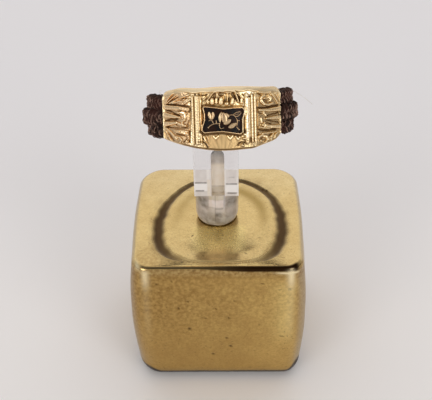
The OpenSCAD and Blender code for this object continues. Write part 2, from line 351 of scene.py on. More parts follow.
for share in (0.75, 0.5, 0.25):
    rings.append((foot_ring[0] * share, foot_ring[1] * share, np.zeros(BLOCK_AROUND)))
    bends.append(BEND_OF_FOOT)

points = np.array([np.stack(ring, axis=1) for ring in rings])
# filing left the walls and the top very slightly wavy
WALL_WAVE = 0.018
TOP_WAVE = 0.006
WALL_FROM_TOP = (0.6, 2.0)
WALL_FROM_FOOT = (0.2, 2.0)
x, y, z = points[..., 0], points[..., 1], points[..., 2]
wave = np.sin(x * 0.9 + 1.3 * np.sin(z * 0.5)) + np.sin(y * 1.1 + 0.8 * np.sin(x * 0.7 + 2))
wave += np.sin(z * 0.8 + 1.1 * np.sin(x * 0.6 + y * 0.5))
outward = np.stack([x, y, np.zeros_like(z)], axis=-1)
outward /= np.linalg.norm(outward, axis=-1, keepdims=True) + 1e-9
on_wall = smooth_step(block_h - z, *WALL_FROM_TOP) * smooth_step(z, *WALL_FROM_FOOT)
points += outward * (WALL_WAVE * wave * on_wall)[..., None]
points[..., 2] += TOP_WAVE * wave * (z > block_h - 0.25)
# casting pits of the front wall, and small ones of the top: place in the photograph and radius
WALL_PITS = [
    (189, 328.6, 0.34), (230, 346.5, 0.30), (226, 338, 0.24), (228, 318, 0.26), (187, 302, 0.22),
    (178, 308.5, 0.22), (262, 285, 0.22), (290, 290, 0.24), (281, 336, 0.24), (156, 286, 0.2),
    (205, 318, 0.18), (234, 301, 0.18), (212.5, 355, 0.28), (215, 309, 0.15), (171, 283, 0.15),
]
TOP_PITS = [
    (222, 233, 0.2), (202.5, 254, 0.24), (192, 234, 0.16), (204, 251, 0.12), (245, 252, 0.12),
    (258, 236, 0.14), (181, 262, 0.16), (262, 189, 0.3), (266, 190.4, 0.24),
]
PIT_DEPTH = 0.16
pitted = np.zeros(points.shape[:2])
front_y = -(TOP_HALF_DEPTH + WALL_BOW * 0.8) * MM
for pixel_x, pixel_y, pit_r in WALL_PITS:
    hit = seen_on("y", front_y, pixel_x, pixel_y)
    hollow = np.clip(1 - (np.hypot(x - hit.x, z - hit.z) / pit_r) ** 2, 0, 1)
    pitted = np.maximum(pitted, hollow * (y < 0) * (z < block_h - 1))
points[..., 1] += PIT_DEPTH * pitted
for pixel_x, pixel_y, pit_r in TOP_PITS:
    hit = seen_on("z", block_high.z, pixel_x, pixel_y)
    hollow = np.clip(1 - (np.hypot(x - hit.x, y - hit.y) / pit_r) ** 2, 0, 1)
    pitted = np.maximum(pitted, hollow * (z > block_h - 0.7))

# Marks of use, painted shade and painted highlights: each is a share from 0 to 1 for every point,
# and each pair of numbers says where a mark starts and where it is full, or where it starts to fade
# and where it ends. Pairs named for both sides hold the left one first.
OFF_THE_TOP = 99.0
CHANNEL_SHADE_FADE = (0.3 * CHANNEL_HALF, 1.3 * CHANNEL_HALF)
BAND_R = 6.6
BAND_HALF = 0.8
BAND_BACKWARD = (42, 125)
BAND_BOTH_SIDES = (0.62, 1.0)
EDGE_FORWARD = (TOP_HALF_DEPTH - 1.6, TOP_HALF_DEPTH - 0.9)
EDGE_MIDDLE = 0.35
EDGE_ENDS = (10.9, 11.5)
LINE_WIDENS = (-4, 5)
LINE_BEND = 34
LINE_BEND_GAIN = 17
LINE_HALF = 17
LINE_HALF_GAIN = 24
LINE_LEFT_SHARE = 0.8
GLINT_BEND = 101
GLINT_HALF = 10.0
GLINT_ENDS = (7.5, 9.5)
CORNER_TURN = (10.0, 14.0)
CORNER_HALF = (11.0, 12.0)
CORNER_SHARE = (0.82, 0.95)
CORNER_BEND = (40, 100)
CORNER_FADE = (1.5, 4.8)
CORNER_LOW_SHARE = 0.14
CORNER_END = (9, 16)
SPARK_X = -11.4
SPARK_HALF = 0.35
SPARK_BEND = 45
SPARK_BEND_HALF = 22.0
SIDE_EDGE_BEND = 70
SIDE_EDGE_STARTS = (18, 45)
SIDE_EDGE_FADE = (30, 60)
SIDE_EDGE_ROUND = (44, 60)
SIDE_EDGE_SHARE = 0.8
DULL_FROM_TURN = (38, 24)
DULL_TO_TURN = (78, 54)
DULL_BEND = (70, 95)
DULL_BACKWARD = (-9, -3)
DULL_BACK_LOSS = 0.85
FOOT_SHADOW_HEIGHT = 1.75
# side, how much higher the foot's painted shadow climbs at its corner, and where across and forward
FOOT_SHADOW_CORNERS = [(1, 2.1, (10.3, 12.2), (8.2, 11.2)), (-1, 0.9, (8.5, 11), (5.0, 9.0))]
BROWN_BENDS = (40, 58, 105, 190)
BROWN_FORWARD = (9, 11)
RIM_CORNER_LEFT = (4, 9)
RIM_CORNER_FORWARD = (5, 10)
RIM_CORNER_SHARE = 0.5
REFLECTION_MIDDLE = 0.2
REFLECTION_ENDS = (2.2, 4.6)
REFLECTION_FORWARD = (2.0, 3.4, 6.6, 9.8)
GLOW_X = 9.9
GLOW_HALF = 1.7
GLOW_FORWARD = (9, 11)
GLOW_DOWN = (1.5, 4, 11, 16)
GLOW_END = (10.6, 11.6)
GLOW_SHARE = 0.5

# painted shade in the channel, standing in for the dark room its walls reflect, with ragged edges, and a
# softer band of painted shade on the slope inside it
nominal = np.array(nominal + [OFF_THE_TOP] * (len(rings) - len(nominal)))[:, None] + 0 * x
toward = toward[None, :] + 0 * x
bend = np.array(bends)[:, None] + 0 * x
below = block_h - z
ragged = 0.09 * np.sin(toward * 0.17 + 2 * np.sin(toward * 0.07)) + 0.06 * np.sin(toward * 0.51)
channel_shade = 1 - smooth_step(np.abs(nominal - CHANNEL_R + ragged), *CHANNEL_SHADE_FADE)
channel_shade *= np.interp(np.abs(toward), CHANNEL_DIRECTIONS, CHANNEL_SHADE_STRENGTH)
band = bell(nominal, BAND_R, BAND_HALF) * smooth_step(np.abs(toward), *BAND_BACKWARD)
band *= np.where(toward <= 0, *BAND_BOTH_SIDES)
# the front of the top edge has a painted dark reflection, twice as wide at its right end, and a painted
# highlight just below that
rightward = smooth_step(x, *LINE_WIDENS)
on_front_edge = smooth_step(-y, *EDGE_FORWARD) * (1 - smooth_step(np.abs(x - EDGE_MIDDLE), *EDGE_ENDS))
line_half = LINE_HALF + LINE_HALF_GAIN * rightward
off_line = np.abs(bend - LINE_BEND - LINE_BEND_GAIN * rightward)
painted_shade_line = 1 - smooth_step(off_line, line_half * 0.6, line_half * 1.1)
painted_shade_line *= on_front_edge * (LINE_LEFT_SHARE + (1 - LINE_LEFT_SHARE) * rightward)
edge_glint = bell(bend, GLINT_BEND, GLINT_HALF) * on_front_edge * smooth_step(x, *GLINT_ENDS)
# painted highlights on both front corners, and a painted spark of light on the left one
around_corner = np.degrees(np.arctan2(np.abs(x) - TOP_HALF_WIDTH + FRONT_CORNER_R,
                                      -y - TOP_HALF_DEPTH + FRONT_CORNER_R))
corner_glint = bell(around_corner, np.where(x < 0, *CORNER_TURN), np.where(x < 0, *CORNER_HALF)) * (y < 0)
corner_glint *= smooth_step(bend, *CORNER_BEND) * np.where(x < 0, *CORNER_SHARE)
corner_glint *= CORNER_LOW_SHARE + (1 - CORNER_LOW_SHARE) * (1 - smooth_step(below, *CORNER_FADE))
corner_glint *= 1 - smooth_step(below, *CORNER_END)
spark = bell(x, SPARK_X, SPARK_HALF) * bell(bend, SPARK_BEND, SPARK_BEND_HALF) * (y < -10)
edge_glint = np.clip(edge_glint + corner_glint + spark, 0, 1)
# the rounded edges at the sides and the back, and the walls round the corners, take a painted grey
# reflection of a darker room
side_edge = smooth_step(bend, *SIDE_EDGE_STARTS) * smooth_step(np.abs(toward), *SIDE_EDGE_ROUND)
side_edge *= 1 - smooth_step(np.abs(bend - SIDE_EDGE_BEND), *SIDE_EDGE_FADE)
turned_away = smooth_step(around_corner, np.where(x < 0, *DULL_FROM_TURN), np.where(x < 0, *DULL_TO_TURN))
turned_away *= smooth_step(bend, *DULL_BEND) * (1 - DULL_BACK_LOSS * smooth_step(y, *DULL_BACKWARD))
grey_reflection = np.clip(side_edge * SIDE_EDGE_SHARE + turned_away, 0, 1)
# painted shadow along the bottom of the rounded foot, higher at the front corners
foot_shadow_top = FOOT_SHADOW_HEIGHT + 0 * x
for side, climb, aside_range, forward_range in FOOT_SHADOW_CORNERS:
    foot_shadow_top += climb * smooth_step(side * x, *aside_range) * smooth_step(-y, *forward_range)
painted_shade_line = np.maximum(painted_shade_line, 1 - smooth_step(z, foot_shadow_top * 0.75, foot_shadow_top))
# painted shade just under the front edge, and browner on the rim round the channel's left front end
rim_corner = smooth_step(-x, *RIM_CORNER_LEFT) * smooth_step(-y, *RIM_CORNER_FORWARD)
rim_corner *= RIM_CORNER_SHARE * (nominal > CHANNEL_R) * (bend < 20)
shade_and_brown = np.clip(window(bend, *BROWN_BENDS) * smooth_step(-y, *BROWN_FORWARD) + rim_corner, 0, 1)
# a painted reflection of the clip just in front of the peg, and a painted glow of light on the front wall
# beside its right corner
reflection_and_glow = 1 - smooth_step(np.abs(x - REFLECTION_MIDDLE), *REFLECTION_ENDS)
reflection_and_glow *= window(-y, *REFLECTION_FORWARD) * (z > block_h - 0.8)
glow = GLOW_SHARE * bell(x, GLOW_X, GLOW_HALF) * smooth_step(-y, *GLOW_FORWARD) * on_wall
glow *= window(below, *GLOW_DOWN) * (1 - smooth_step(x, *GLOW_END))
reflection_and_glow = np.maximum(reflection_and_glow, glow)


def skin(name, *grids):
    """A mesh object from grids of points in millimetres. The rings of a grid are closed round, and
    a fan closes both its ends. Faces point outwards when the rings run down and round."""
    places, faces = [], []
    for grid in grids:
        ring_count, around = grid.shape[:2]
        start = sum(len(p) for p in places)
        places.append(grid.reshape(-1, 3))
        index = start + np.arange(ring_count * around).reshape(ring_count, around)
        after = np.roll(index, -1, axis=1)
        quads = np.stack([index[:-1], index[1:], after[1:], after[:-1]], axis=-1).reshape(-1, 4)
        faces += quads.tolist()
        for ring, order in ((0, 1), (ring_count - 1, -1)):
            hub = sum(len(p) for p in places)
            places.append(grid[ring].mean(axis=0, keepdims=True))
            faces += [(hub, a, b)[::order] for a, b in zip(index[ring], after[ring])]
    data = bpy.data.meshes.new(name)
    data.from_pydata((np.concatenate(places) * MM).tolist(), [], faces)
    data.shade_smooth()
    data.validate()
    return put_in_scene(name, data)


def paint(piece, name, values):
    """Stores one number for each point of a piece, for its material to read."""
    layer = piece.data.attributes.new(name, "FLOAT", "POINT")
    every = np.zeros(len(piece.data.vertices), np.float32)
    every[:values.size] = values.reshape(-1)
    layer.data.foreach_set("value", every)


points[..., 0] += BLOCK_ASIDE
brass_block = skin("brass_block", points)
block_marks = {"pit": pitted, "channel_shade": channel_shade, "wall": on_wall, "band": band, "edge line": painted_shade_line,
               "edge glint": edge_glint, "grey_reflection": grey_reflection, "shade_and_brown": shade_and_brown, "reflection_and_glow": reflection_and_glow}
for name, values in block_marks.items():
    paint(brass_block, name, values)

# Shader group that all the finishes share: fine grain, slow blotches and scattered specks.
worn = bpy.data.node_groups.new("worn surface", "ShaderNodeTree")
worn.interface.new_socket("Place", in_out="INPUT", socket_type="NodeSocketVector")
for name, start in (("Grain size", 0.2), ("Blotch size", 4.0), ("Speck size", 0.3)):
    socket = worn.interface.new_socket(name, in_out="INPUT", socket_type="NodeSocketFloat")
    socket.default_value = start
for name in ("Grain", "Blotch", "Specks"):
    worn.interface.new_socket(name, in_out="OUTPUT", socket_type="NodeSocketFloat")
group_in, group_out = worn.nodes.new("NodeGroupInput"), worn.nodes.new("NodeGroupOutput")
for source, name, detail, low, high in (("Grain size", "Grain", 3, 0.3, 0.7),
                                        ("Blotch size", "Blotch", 4, 0.35, 0.65),
                                        ("Speck size", "Specks", 2, 0.62, 0.74)):
    per_mm = wire(worn, "ShaderNodeMath", {0: 1.0, 1: group_in.outputs[source]}, operation="DIVIDE")
    noise = wire(worn, "ShaderNodeTexNoise", {"Vector": group_in.outputs["Place"],
                                              "Scale": per_mm.outputs[0], "Detail": detail})
    eased = step_up(worn, noise.outputs["Fac"], low, high)
    worn.links.new(eased, group_out.inputs[name])


def marks_on(tree, place, grain, blotch, speck):
    """The worn surface's grain, blotches and specks at a place, by their sizes in millimetres."""
    return wire(tree, "ShaderNodeGroup", {"Place": place, "Grain size": grain, "Blotch size": blotch,
                                          "Speck size": speck}, node_tree=worn).outputs


def painted(tree, name):
    """The number that a piece stores under a name."""
    return wire(tree, "ShaderNodeAttribute", attribute_name=name).outputs["Fac"]


def share_of(tree, value, most):
    """A value times a share."""
    return wire(tree, "ShaderNodeMath", {0: value, 1: most}, operation="MULTIPLY", use_clamp=True).outputs[0]


def raised_by(tree, start, value, gain):
    """A start plus a value times a gain."""
    return wire(tree, "ShaderNodeMath", {0: value, 1: gain, 2: start}, operation="MULTIPLY_ADD").outputs[0]


def layered(tree, colour, layers):
    """A colour with others laid over it: the name of a stored number, the share of it, the colour."""
    for name, most, over in layers:
        colour = mix_colours(tree, share_of(tree, painted(tree, name), most), colour, over)
    return colour


def engrained(tree, shader, height, strength, distance):
    """Gives a finish fine relief, its distance in millimetres."""
    bump = wire(tree, "ShaderNodeBump", {"Height": height, "Strength": strength, "Distance": distance * MM})
    tree.links.new(bump.outputs["Normal"], shader.inputs["Normal"])


BRASS_TOP = (0.735, 0.555, 0.25, 1)
BRASS_WALL = (0.70, 0.485, 0.17, 1)
BRASS_SLOPE_SHADE = (0.38, 0.26, 0.085, 1)
BRASS_TOP_BACK = (0.80, 0.66, 0.38, 1)
BRASS_BROWN_AND_SHADE = (0.44, 0.27, 0.085, 1)
BRASS_MOTTLE_AND_SHADE = (0.27, 0.15, 0.045, 1)
BRASS_DIRT_AND_SHADE = (0.060, 0.028, 0.010, 1)
BRASS_SHADE_LINE = (0.030, 0.014, 0.005, 1)
BRASS_HIGHLIGHT = (0.97, 0.83, 0.52, 1)
BRASS_GREY_REFLECTION = (0.44, 0.37, 0.27, 1)
BRASS_REFLECTION_GLOW = (1.0, 0.80, 0.33, 1)
# eased ranges: two places in millimetres and the shares at them, or the shares on the top and wall
BACK_PALER = (0, 11, 0.0, 0.6)
LEFT_SHADE = (9, -15, 0.08, 0.68)
BLOTCH_SHARES = (0.16, 0.34)
GRAIN_SHARES = (0.18, 0.34)
SPECK_SHARES = (0.25, 0.3)
MOTTLE_UP = (4, 18, 0.2, 1.0)
MOTTLE_LEFT = (9, -9, 0.45, 1.0)
MOTTLE_FRONT = (-12, -8, 1.0, 0.35)
MOTTLE_SHARE = 0.72
SHADE_AND_BROWN_SHARES = (0.35, 0.8)
BRASS_ROUGHNESS = (0.13, 0.33)
BRASS_RELIEF = (0.3, 1.0)
brass, tree, shader, place = finish_for("worn brass")
marks = marks_on(tree, place, 0.3, 5.0, 0.42)
mottle = marks_on(tree, place, 0.5, 1.5, 0.6)
wall, channel_shaded = painted(tree, "wall"), painted(tree, "channel_shade")
reach = wire(tree, "ShaderNodeSeparateXYZ", {0: place}).outputs
colour = mix_colours(tree, step_up(tree, reach["Y"], *BACK_PALER), BRASS_TOP, BRASS_TOP_BACK)
colour = mix_colours(tree, wall, colour, BRASS_WALL)
# the walls are browner to the left, as painted shade, and the top only in slow blotches
browning_and_shade = [(wall, step_up(tree, reach["X"], *LEFT_SHADE)),
           (marks["Blotch"], step_up(tree, wall, 0, 1, *BLOTCH_SHARES)),
           (marks["Grain"], step_up(tree, wall, 0, 1, *GRAIN_SHARES)), (mottle["Blotch"], 0.16)]
for pattern, most in browning_and_shade:
    colour = mix_colours(tree, share_of(tree, pattern, most), colour, BRASS_BROWN_AND_SHADE)
# painted reflection and glow, painted grey reflection, and painted shade on the dish's slope
colour = layered(tree, colour, [("reflection_and_glow", 0.95, BRASS_REFLECTION_GLOW), ("grey_reflection", 0.6, BRASS_GREY_REFLECTION),
                                ("band", 0.9, BRASS_SLOPE_SHADE)])
# coarser mottling on the walls, strongest high up at the left
mottled = share_of(tree, step_up(tree, reach["Z"], *MOTTLE_UP), step_up(tree, reach["X"], *MOTTLE_LEFT))
mottled = share_of(tree, share_of(tree, mottled, wall), step_up(tree, reach["Y"], *MOTTLE_FRONT))
mottled = share_of(tree, mottled, share_of(tree, mottle["Grain"], MOTTLE_SHARE))
colour = mix_colours(tree, mottled, colour, BRASS_MOTTLE_AND_SHADE)
shade_and_brown_most = step_up(tree, mottle["Grain"], 0, 1, *SHADE_AND_BROWN_SHARES)
speck_share = share_of(tree, marks["Specks"], step_up(tree, wall, 0, 1, *SPECK_SHARES))
colour = layered(tree, colour, [("shade_and_brown", shade_and_brown_most, BRASS_MOTTLE_AND_SHADE)])
colour = mix_colours(tree, speck_share, colour, BRASS_DIRT_AND_SHADE)
# dirt in the pits, then painted shade in the channel, along the front top edge and round the foot, and
# painted highlights
colour = layered(tree, colour, [("pit", 0.9, BRASS_DIRT_AND_SHADE), ("channel_shade", 1, BRASS_DIRT_AND_SHADE),
                                ("edge line", 1, BRASS_SHADE_LINE), ("edge glint", 1, BRASS_HIGHLIGHT)])
tree.links.new(colour, shader.inputs["Base Color"])
rough = step_up(tree, wall, 0, 1, *BRASS_ROUGHNESS)
for value, gain in ((marks["Grain"], 0.10), (channel_shaded, 0.25), (painted(tree, "reflection_and_glow"), 0.12)):
    rough = raised_by(tree, rough, value, gain)
tree.links.new(rough, shader.inputs["Roughness"])
shader.inputs["Metallic"].default_value = 1.0
pattern = raised_by(tree, marks["Grain"], marks["Specks"], -1.0)
relief = wire(tree, "ShaderNodeMath", {0: pattern, 1: step_up(tree, wall, 0, 1, *BRASS_RELIEF)},
              operation="MULTIPLY")
engrained(tree, shader, relief.outputs[0], 0.5, 0.02)
brass_block.data.materials.append(brass)
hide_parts("stand_block")
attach(brass_block, "root")


# Clear clip. Cut from clear acrylic and polished: a round peg, a square post with a round-topped
# slot in its front, and a springy cradle that presses on the inside of the ring. The slot is matt
# and the front of the post's foot is hazy, with painted reflections as pale, white and dark lines;
# the peg is painted with pale, white, grey and dark patches as painted refractions and shade.
CLIP_EDGE = 0.1
CLIP_SHARP = 32
CLIP_FLAT = 0.6
CLIP_WELD = 0.002
PEG_TOP = 29.3
POST_LOW = 28.65
PEG_TAPER = 0.085
PEG_TAPER_HIGH = 1.3
PEG_TAPER_RINGS = (0.2, 0.45, 0.75, PEG_TAPER_HIGH)
POST_FRONT = -3.1
HAZE_TOP = 33.4
SLOT_HALF = 1.2
SLOT_DEPTH = 1.1
SLOT_SIDES = 1.4
SLOT_NARROWED = 0.9
SLOT_ASIDE = 0.24
ACRYLIC_IOR = 1.49


def cut_level(form, height):
    """Cuts a form's faces along a level plane, which gives it a ring of points there."""
    everything = form.verts[:] + form.edges[:] + form.faces[:]
    bmesh.ops.bisect_plane(form, geom=everything, plane_co=(0, 0, height), plane_no=(0, 0, 1))


clip_form = bmesh.new()
clip_form.from_mesh(bpy.data.objects["stand_clip"].data)
bmesh.ops.remove_doubles(clip_form, verts=clip_form.verts, dist=CLIP_WELD * MM)
bmesh.ops.dissolve_limit(clip_form, angle_limit=math.radians(CLIP_FLAT), verts=clip_form.verts,
                         edges=clip_form.edges)
# the square post reaches a little lower round the peg than its plain solid does, and the slot is
# a little narrower and further to the right
for corner in clip_form.verts:
    if abs(corner.co.z / MM - PEG_TOP) < 0.1:
        corner.co.z = POST_LOW * MM
    if abs(corner.co.x / MM) < SLOT_HALF and corner.co.y / MM < POST_FRONT + SLOT_DEPTH:
        corner.co.x = corner.co.x * SLOT_NARROWED + SLOT_ASIDE * MM
cut_level(clip_form, HAZE_TOP * MM)
# the peg narrows a little at its foot
peg_foot = min(corner.co.z for corner in clip_form.verts)
for above in PEG_TAPER_RINGS:
    cut_level(clip_form, peg_foot + above * MM)
for corner in clip_form.verts:
    share = max(1 - (corner.co.z - peg_foot) / (PEG_TAPER_HIGH * MM), 0)
    corner.co.x *= 1 - PEG_TAPER * share * share
    corner.co.y *= 1 - PEG_TAPER * share * share
clip_data = bpy.data.meshes.new("clear_clip")
clip_form.to_mesh(clip_data)
clip_form.free()
clear_clip = put_in_scene("clear_clip", clip_data)
rounding = clear_clip.modifiers.new("rounded edges", "BEVEL")
rounding.width = CLIP_EDGE * MM
rounding.segments = 3
rounding.limit_method = "ANGLE"
rounding.angle_limit = math.radians(CLIP_SHARP)
shown = clear_clip.evaluated_get(bpy.context.evaluated_depsgraph_get())
rounded_data = bpy.data.meshes.new_from_object(shown)
clear_clip.modifiers.clear()
clear_clip.data = rounded_data

# Shader group for a soft-edged patch on the clip's front, by its sides and its ends.
patch = bpy.data.node_groups.new("patch on the clip", "ShaderNodeTree")
patch.interface.new_socket("Place", in_out="INPUT", socket_type="NodeSocketVector")
for name in ("Left", "Right", "Low", "High", "Edge"):
    patch.interface.new_socket(name, in_out="INPUT", socket_type="NodeSocketFloat")
patch.interface.new_socket("Mask", in_out="OUTPUT", socket_type="NodeSocketFloat")
patch_in, patch_out = patch.nodes.new("NodeGroupInput"), patch.nodes.new("NodeGroupOutput")
part = wire(patch, "ShaderNodeSeparateXYZ", {0: patch_in.outputs["Place"]})
mask = 1.0
for axis, bound, sign in (("X", "Left", 1), ("X", "Right", -1), ("Z", "Low", 1), ("Z", "High", -1)):
    inside = part.outputs[axis]
    for operation, by in (("SUBTRACT", patch_in.outputs[bound]), ("MULTIPLY", sign),
                          ("DIVIDE", patch_in.outputs["Edge"]), ("ADD", 0.5), ("MULTIPLY", mask)):
        inside = wire(patch, "ShaderNodeMath", {0: inside, 1: by}, operation=operation,
                      use_clamp=operation == "ADD").outputs[0]
    mask = inside
patch.links.new(mask, patch_out.inputs["Mask"])


def patched(tree, place, colour, patches):
    """A colour with patches of other colours laid over it: sides, ends, soft edge, share, colour."""
    for left, right, low, high, edge, most, over in patches:
        mask = wire(tree, "ShaderNodeGroup", {"Place": place, "Left": left, "Right": right, "Low": low,
                                              "High": high, "Edge": edge}, node_tree=patch).outputs["Mask"]
        colour = mix_colours(tree, share_of(tree, mask, most), colour, over)
    return colour


CLIP_CLEAR = (0.965, 0.955, 0.95, 1)
CLIP_HAZE = (0.92, 0.90, 0.895, 1)
CLIP_DARK_REFLECTION = (0.16, 0.14, 0.13, 1)
POST_PALE_REFLECTION = (0.90, 0.87, 0.85, 1)
POST_HIGHLIGHT = (0.93, 0.91, 0.91, 1)
POST_HAZY = (0.70, 0.655, 0.635, 1)
SLOT_TAN = (0.82, 0.735, 0.63, 1)
SLOT_GREY = (0.44, 0.40, 0.375, 1)
SLOT_TOP_GREY = (0.38, 0.36, 0.34, 1)
SLOT_BROWN = (0.25, 0.20, 0.15, 1)
BAND_TAN = (0.62, 0.54, 0.42, 1)
PEG_PALE = (0.50, 0.44, 0.41, 1)
PEG_WHITE = (0.76, 0.67, 0.63, 1)
PEG_GREY = (0.20, 0.175, 0.155, 1)
PEG_DARK = (0.07, 0.055, 0.045, 1)
# patches by their sides, ends, soft edge, share and colour: first painted reflections on the hazy
# foot of the post, pale and white bands and dark lines at the left and the right of the slot
POST_REFLECTIONS = [
    (-4.0, -2.95, 28.0, 34.0, 0.3, 0.6, POST_PALE_REFLECTION),
    (2.9, 4.0, 28.0, 34.0, 0.3, 0.6, POST_PALE_REFLECTION),
    (-1.35, -0.9, 31.6, 34.0, 0.2, 0.6, POST_PALE_REFLECTION),
    (-1.3, -0.8, 28.0, 31.6, 0.2, 0.8, SLOT_TAN),
    (1.0, 1.4, 28.0, 34.0, 0.2, 0.6, POST_PALE_REFLECTION),
    (-3.3, -1.3, 29.6, 30.95, 0.2, 0.9, POST_HIGHLIGHT),
    (1.35, 3.3, 29.3, 30.7, 0.2, 0.9, POST_HIGHLIGHT),
    (-3.05, -1.35, 30.93, 31.17, 0.16, 0.8, CLIP_DARK_REFLECTION),
    (-3.0, -1.75, 29.5, 29.74, 0.16, 0.85, CLIP_DARK_REFLECTION),
    (1.4, 3.0, 30.68, 30.94, 0.14, 0.85, CLIP_DARK_REFLECTION),
    (1.6, 2.95, 29.04, 29.3, 0.16, 0.85, CLIP_DARK_REFLECTION),
    (1.8, 2.6, 31.9, 32.1, 0.2, 0.35, CLIP_DARK_REFLECTION),
]
# the slot is greyest under its round top, and has a tan band at its foot
SLOT_PATCHES = [
    (-SLOT_SIDES, SLOT_SIDES, 33.8, 37.5, 0.6, 0.8, SLOT_GREY),
    (-SLOT_SIDES, SLOT_SIDES, 35.1, 37.5, 0.5, 0.8, SLOT_TOP_GREY),
    (-SLOT_SIDES, SLOT_SIDES, 29.68, 29.86, 0.2, 0.6, SLOT_BROWN),
    (-SLOT_SIDES, SLOT_SIDES, 28.0, 29.7, 0.3, 0.8, BAND_TAN),
]
# the peg is pale, with the end of that band, and painted refractions and shade: grey wedges, a white square,
# dark marks and a dark foot
PEG_PATCHES = [
    (-2.9, -1.3, 26.2, 28.0, 0.9, 0.9, PEG_GREY),
    (1.35, 3.0, 26.2, 28.0, 0.9, 0.9, PEG_GREY),
    (-2.2, 2.4, 22.6, 25.0, 1.5, 0.75, PEG_GREY),
    (-1.1, 1.05, 27.82, 29.0, 0.2, 0.9, BAND_TAN),
    (-1.15, 1.0, 26.5, 27.8, 0.2, 0.9, PEG_WHITE),
    (-0.2, 0.95, 26.15, 26.3, 0.14, 0.75, PEG_DARK),
    (-0.2, 0.7, 24.8, 25.55, 0.4, 0.7, PEG_DARK),
    (-0.26, -0.14, 23.0, 31.5, 0.1, 0.35, PEG_DARK),
]
acrylic, tree, shader, place = finish_for("clear acrylic")
marks = marks_on(tree, place, 0.5, 2.5, 0.25)
tree.links.new(mix_colours(tree, marks["Blotch"], CLIP_CLEAR, CLIP_HAZE), shader.inputs["Base Color"])
tree.links.new(raised_by(tree, 0.02, marks["Grain"], 0.04), shader.inputs["Roughness"])
shader.inputs["Transmission Weight"].default_value = 1.0
shader.inputs["IOR"].default_value = ACRYLIC_IOR
clear_clip.data.materials.clear()
clear_clip.data.materials.append(acrylic)
for name, base, patches, roughness in (("hazy foot of the post", POST_HAZY, POST_REFLECTIONS, 0.12),
                                       ("cut slot", SLOT_TAN, SLOT_PATCHES, 0.35),
                                       ("peg of the clip", PEG_PALE, PEG_PATCHES, 0.1)):
    cut_finish, tree, shader, place = finish_for(name)
    marks = marks_on(tree, place, 0.3, 0.9, 0.2)
    hazy = share_of(tree, marks["Blotch"], 0.25)
    colour = mix_colours(tree, hazy, patched(tree, place, base, patches), CLIP_HAZE)
    tree.links.new(colour, shader.inputs["Base Color"])
    tree.links.new(raised_by(tree, roughness, marks["Grain"], 0.06), shader.inputs["Roughness"])
    shader.inputs["IOR"].default_value = ACRYLIC_IOR
    clear_clip.data.materials.append(cut_finish)
HAZY_FINISH, SLOT_FINISH, PEG_FINISH = 1, 2, 3
for face in clear_clip.data.polygons:
    middle = face.center / MM
    if middle.z < POST_LOW - 0.12:
        face.material_index = PEG_FINISH
    elif abs(middle.x) < SLOT_SIDES and POST_FRONT + 0.2 < middle.y < POST_FRONT + SLOT_DEPTH:
        face.material_index = SLOT_FINISH
    elif middle.z < HAZE_TOP and face.normal.y < -0.6:
        face.material_index = HAZY_FINISH
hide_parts("stand_clip")
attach(clear_clip, "root")


# Gold front. One casting in yellow gold, curved to the finger and chased by hand, with brown
# tarnish left in its hollows and painted shade and highlights over its relief. A smooth lip runs
# along its upper edge and a column of reeds stands at either side of the enamel, between a shell
# above it and a fan of flutes below it.
RING_PLACE = (0.6, 0.1, 41.2)
RING_TURN = 2.7
RING_LEAN = 28.5
FINGER_R = 8.9
FRONT_R = 10.35
# angles at which the front ends, and how its upper and lower edges drop away from their middles
FRONT_LEFT = -47.3
FRONT_RIGHT = 49.1
FRONT_TOP = 3.70
FRONT_TOP_DROP = 0.90
FRONT_FOOT = 4.36
FRONT_FOOT_DROP = 2.45
FRONT_FOOT_MIDDLE = 4
FRONT_TOP_CORNER_R = 1.0
FRONT_FOOT_CORNER_LEFT_R = 0.6
FRONT_FOOT_CORNER_RIGHT_R = 1.5
CORNER_FLATTENED = 0.6
# how much further out an edge swells or dips, where, and over what half length
TOP_SWELLS = [(0.16, -5.6, 1.3), (-0.08, -2.6, 1.4), (0.12, 8.2, 1.3)]
FOOT_SWELLS = [(0.13, 4.1, 1.0)]
# how its edges roll over from the outer face, how they meet the finger side, how its ends are rounded
ROLL_OUTSIDE = [(-0.05, 0.07), (-0.2, 0.1)]
ROLL_INSIDE = [(0.7, 0.1), (0.15, 0.06), (0, -0.1)]
ROUNDED_ENDS = [(0.0, 0.14), (0.02, 0.07), (0.07, 0.02)]
END_HALF_HEIGHT = 3.2
END_INNER_SHARE = 0.3
FRONT_STEPS_AROUND = 392
FRONT_STEPS_UP = 184
BACK_STEPS = 6
# the lips, the scalloped rims at both ends and the rim of the enamel; pairs for both sides hold
# the left one first, and other pairs say where something starts and where it is full
LIP_W = 0.58
LIP_WAVER = 0.05
LIP_RISE = 0.22
LIP_EDGE = 0.2
LIP_NARROWS = (0.34, 0.42)
LIP_NARROWS_OUT = (4.4, 6.4)
LIP_FALL = 0.26
LIP_FALL_GAIN = 0.2
LIP_FALL_OUT = (3, 6)
FOOT_LIP_RISE = 0.10
FOOT_LIP_EDGE = (0.06, 0.14)
END_RIM_RISE = 0.24
SCALLOP_W = (0.20, 0.12)
SCALLOP_SWING = 0.14
SCALLOP_PITCH = 1.86
SCALLOP_START = 0.3
CUTS_UNDER_LIP = 0.3
CUTS_OVER_FOOT = 0.18
RIM_HALF = 0.10
RIM_RISE = 0.32
RIM_LINE_AWAY = 2.1
RIM_LINE_HALF = 1.1
RIM_LINE_DEPTH = 0.13
RIM_GROUND_AWAY = 3.1
RIM_GROUND_RISE = 0.26
WELL_DEPTH = 0.25
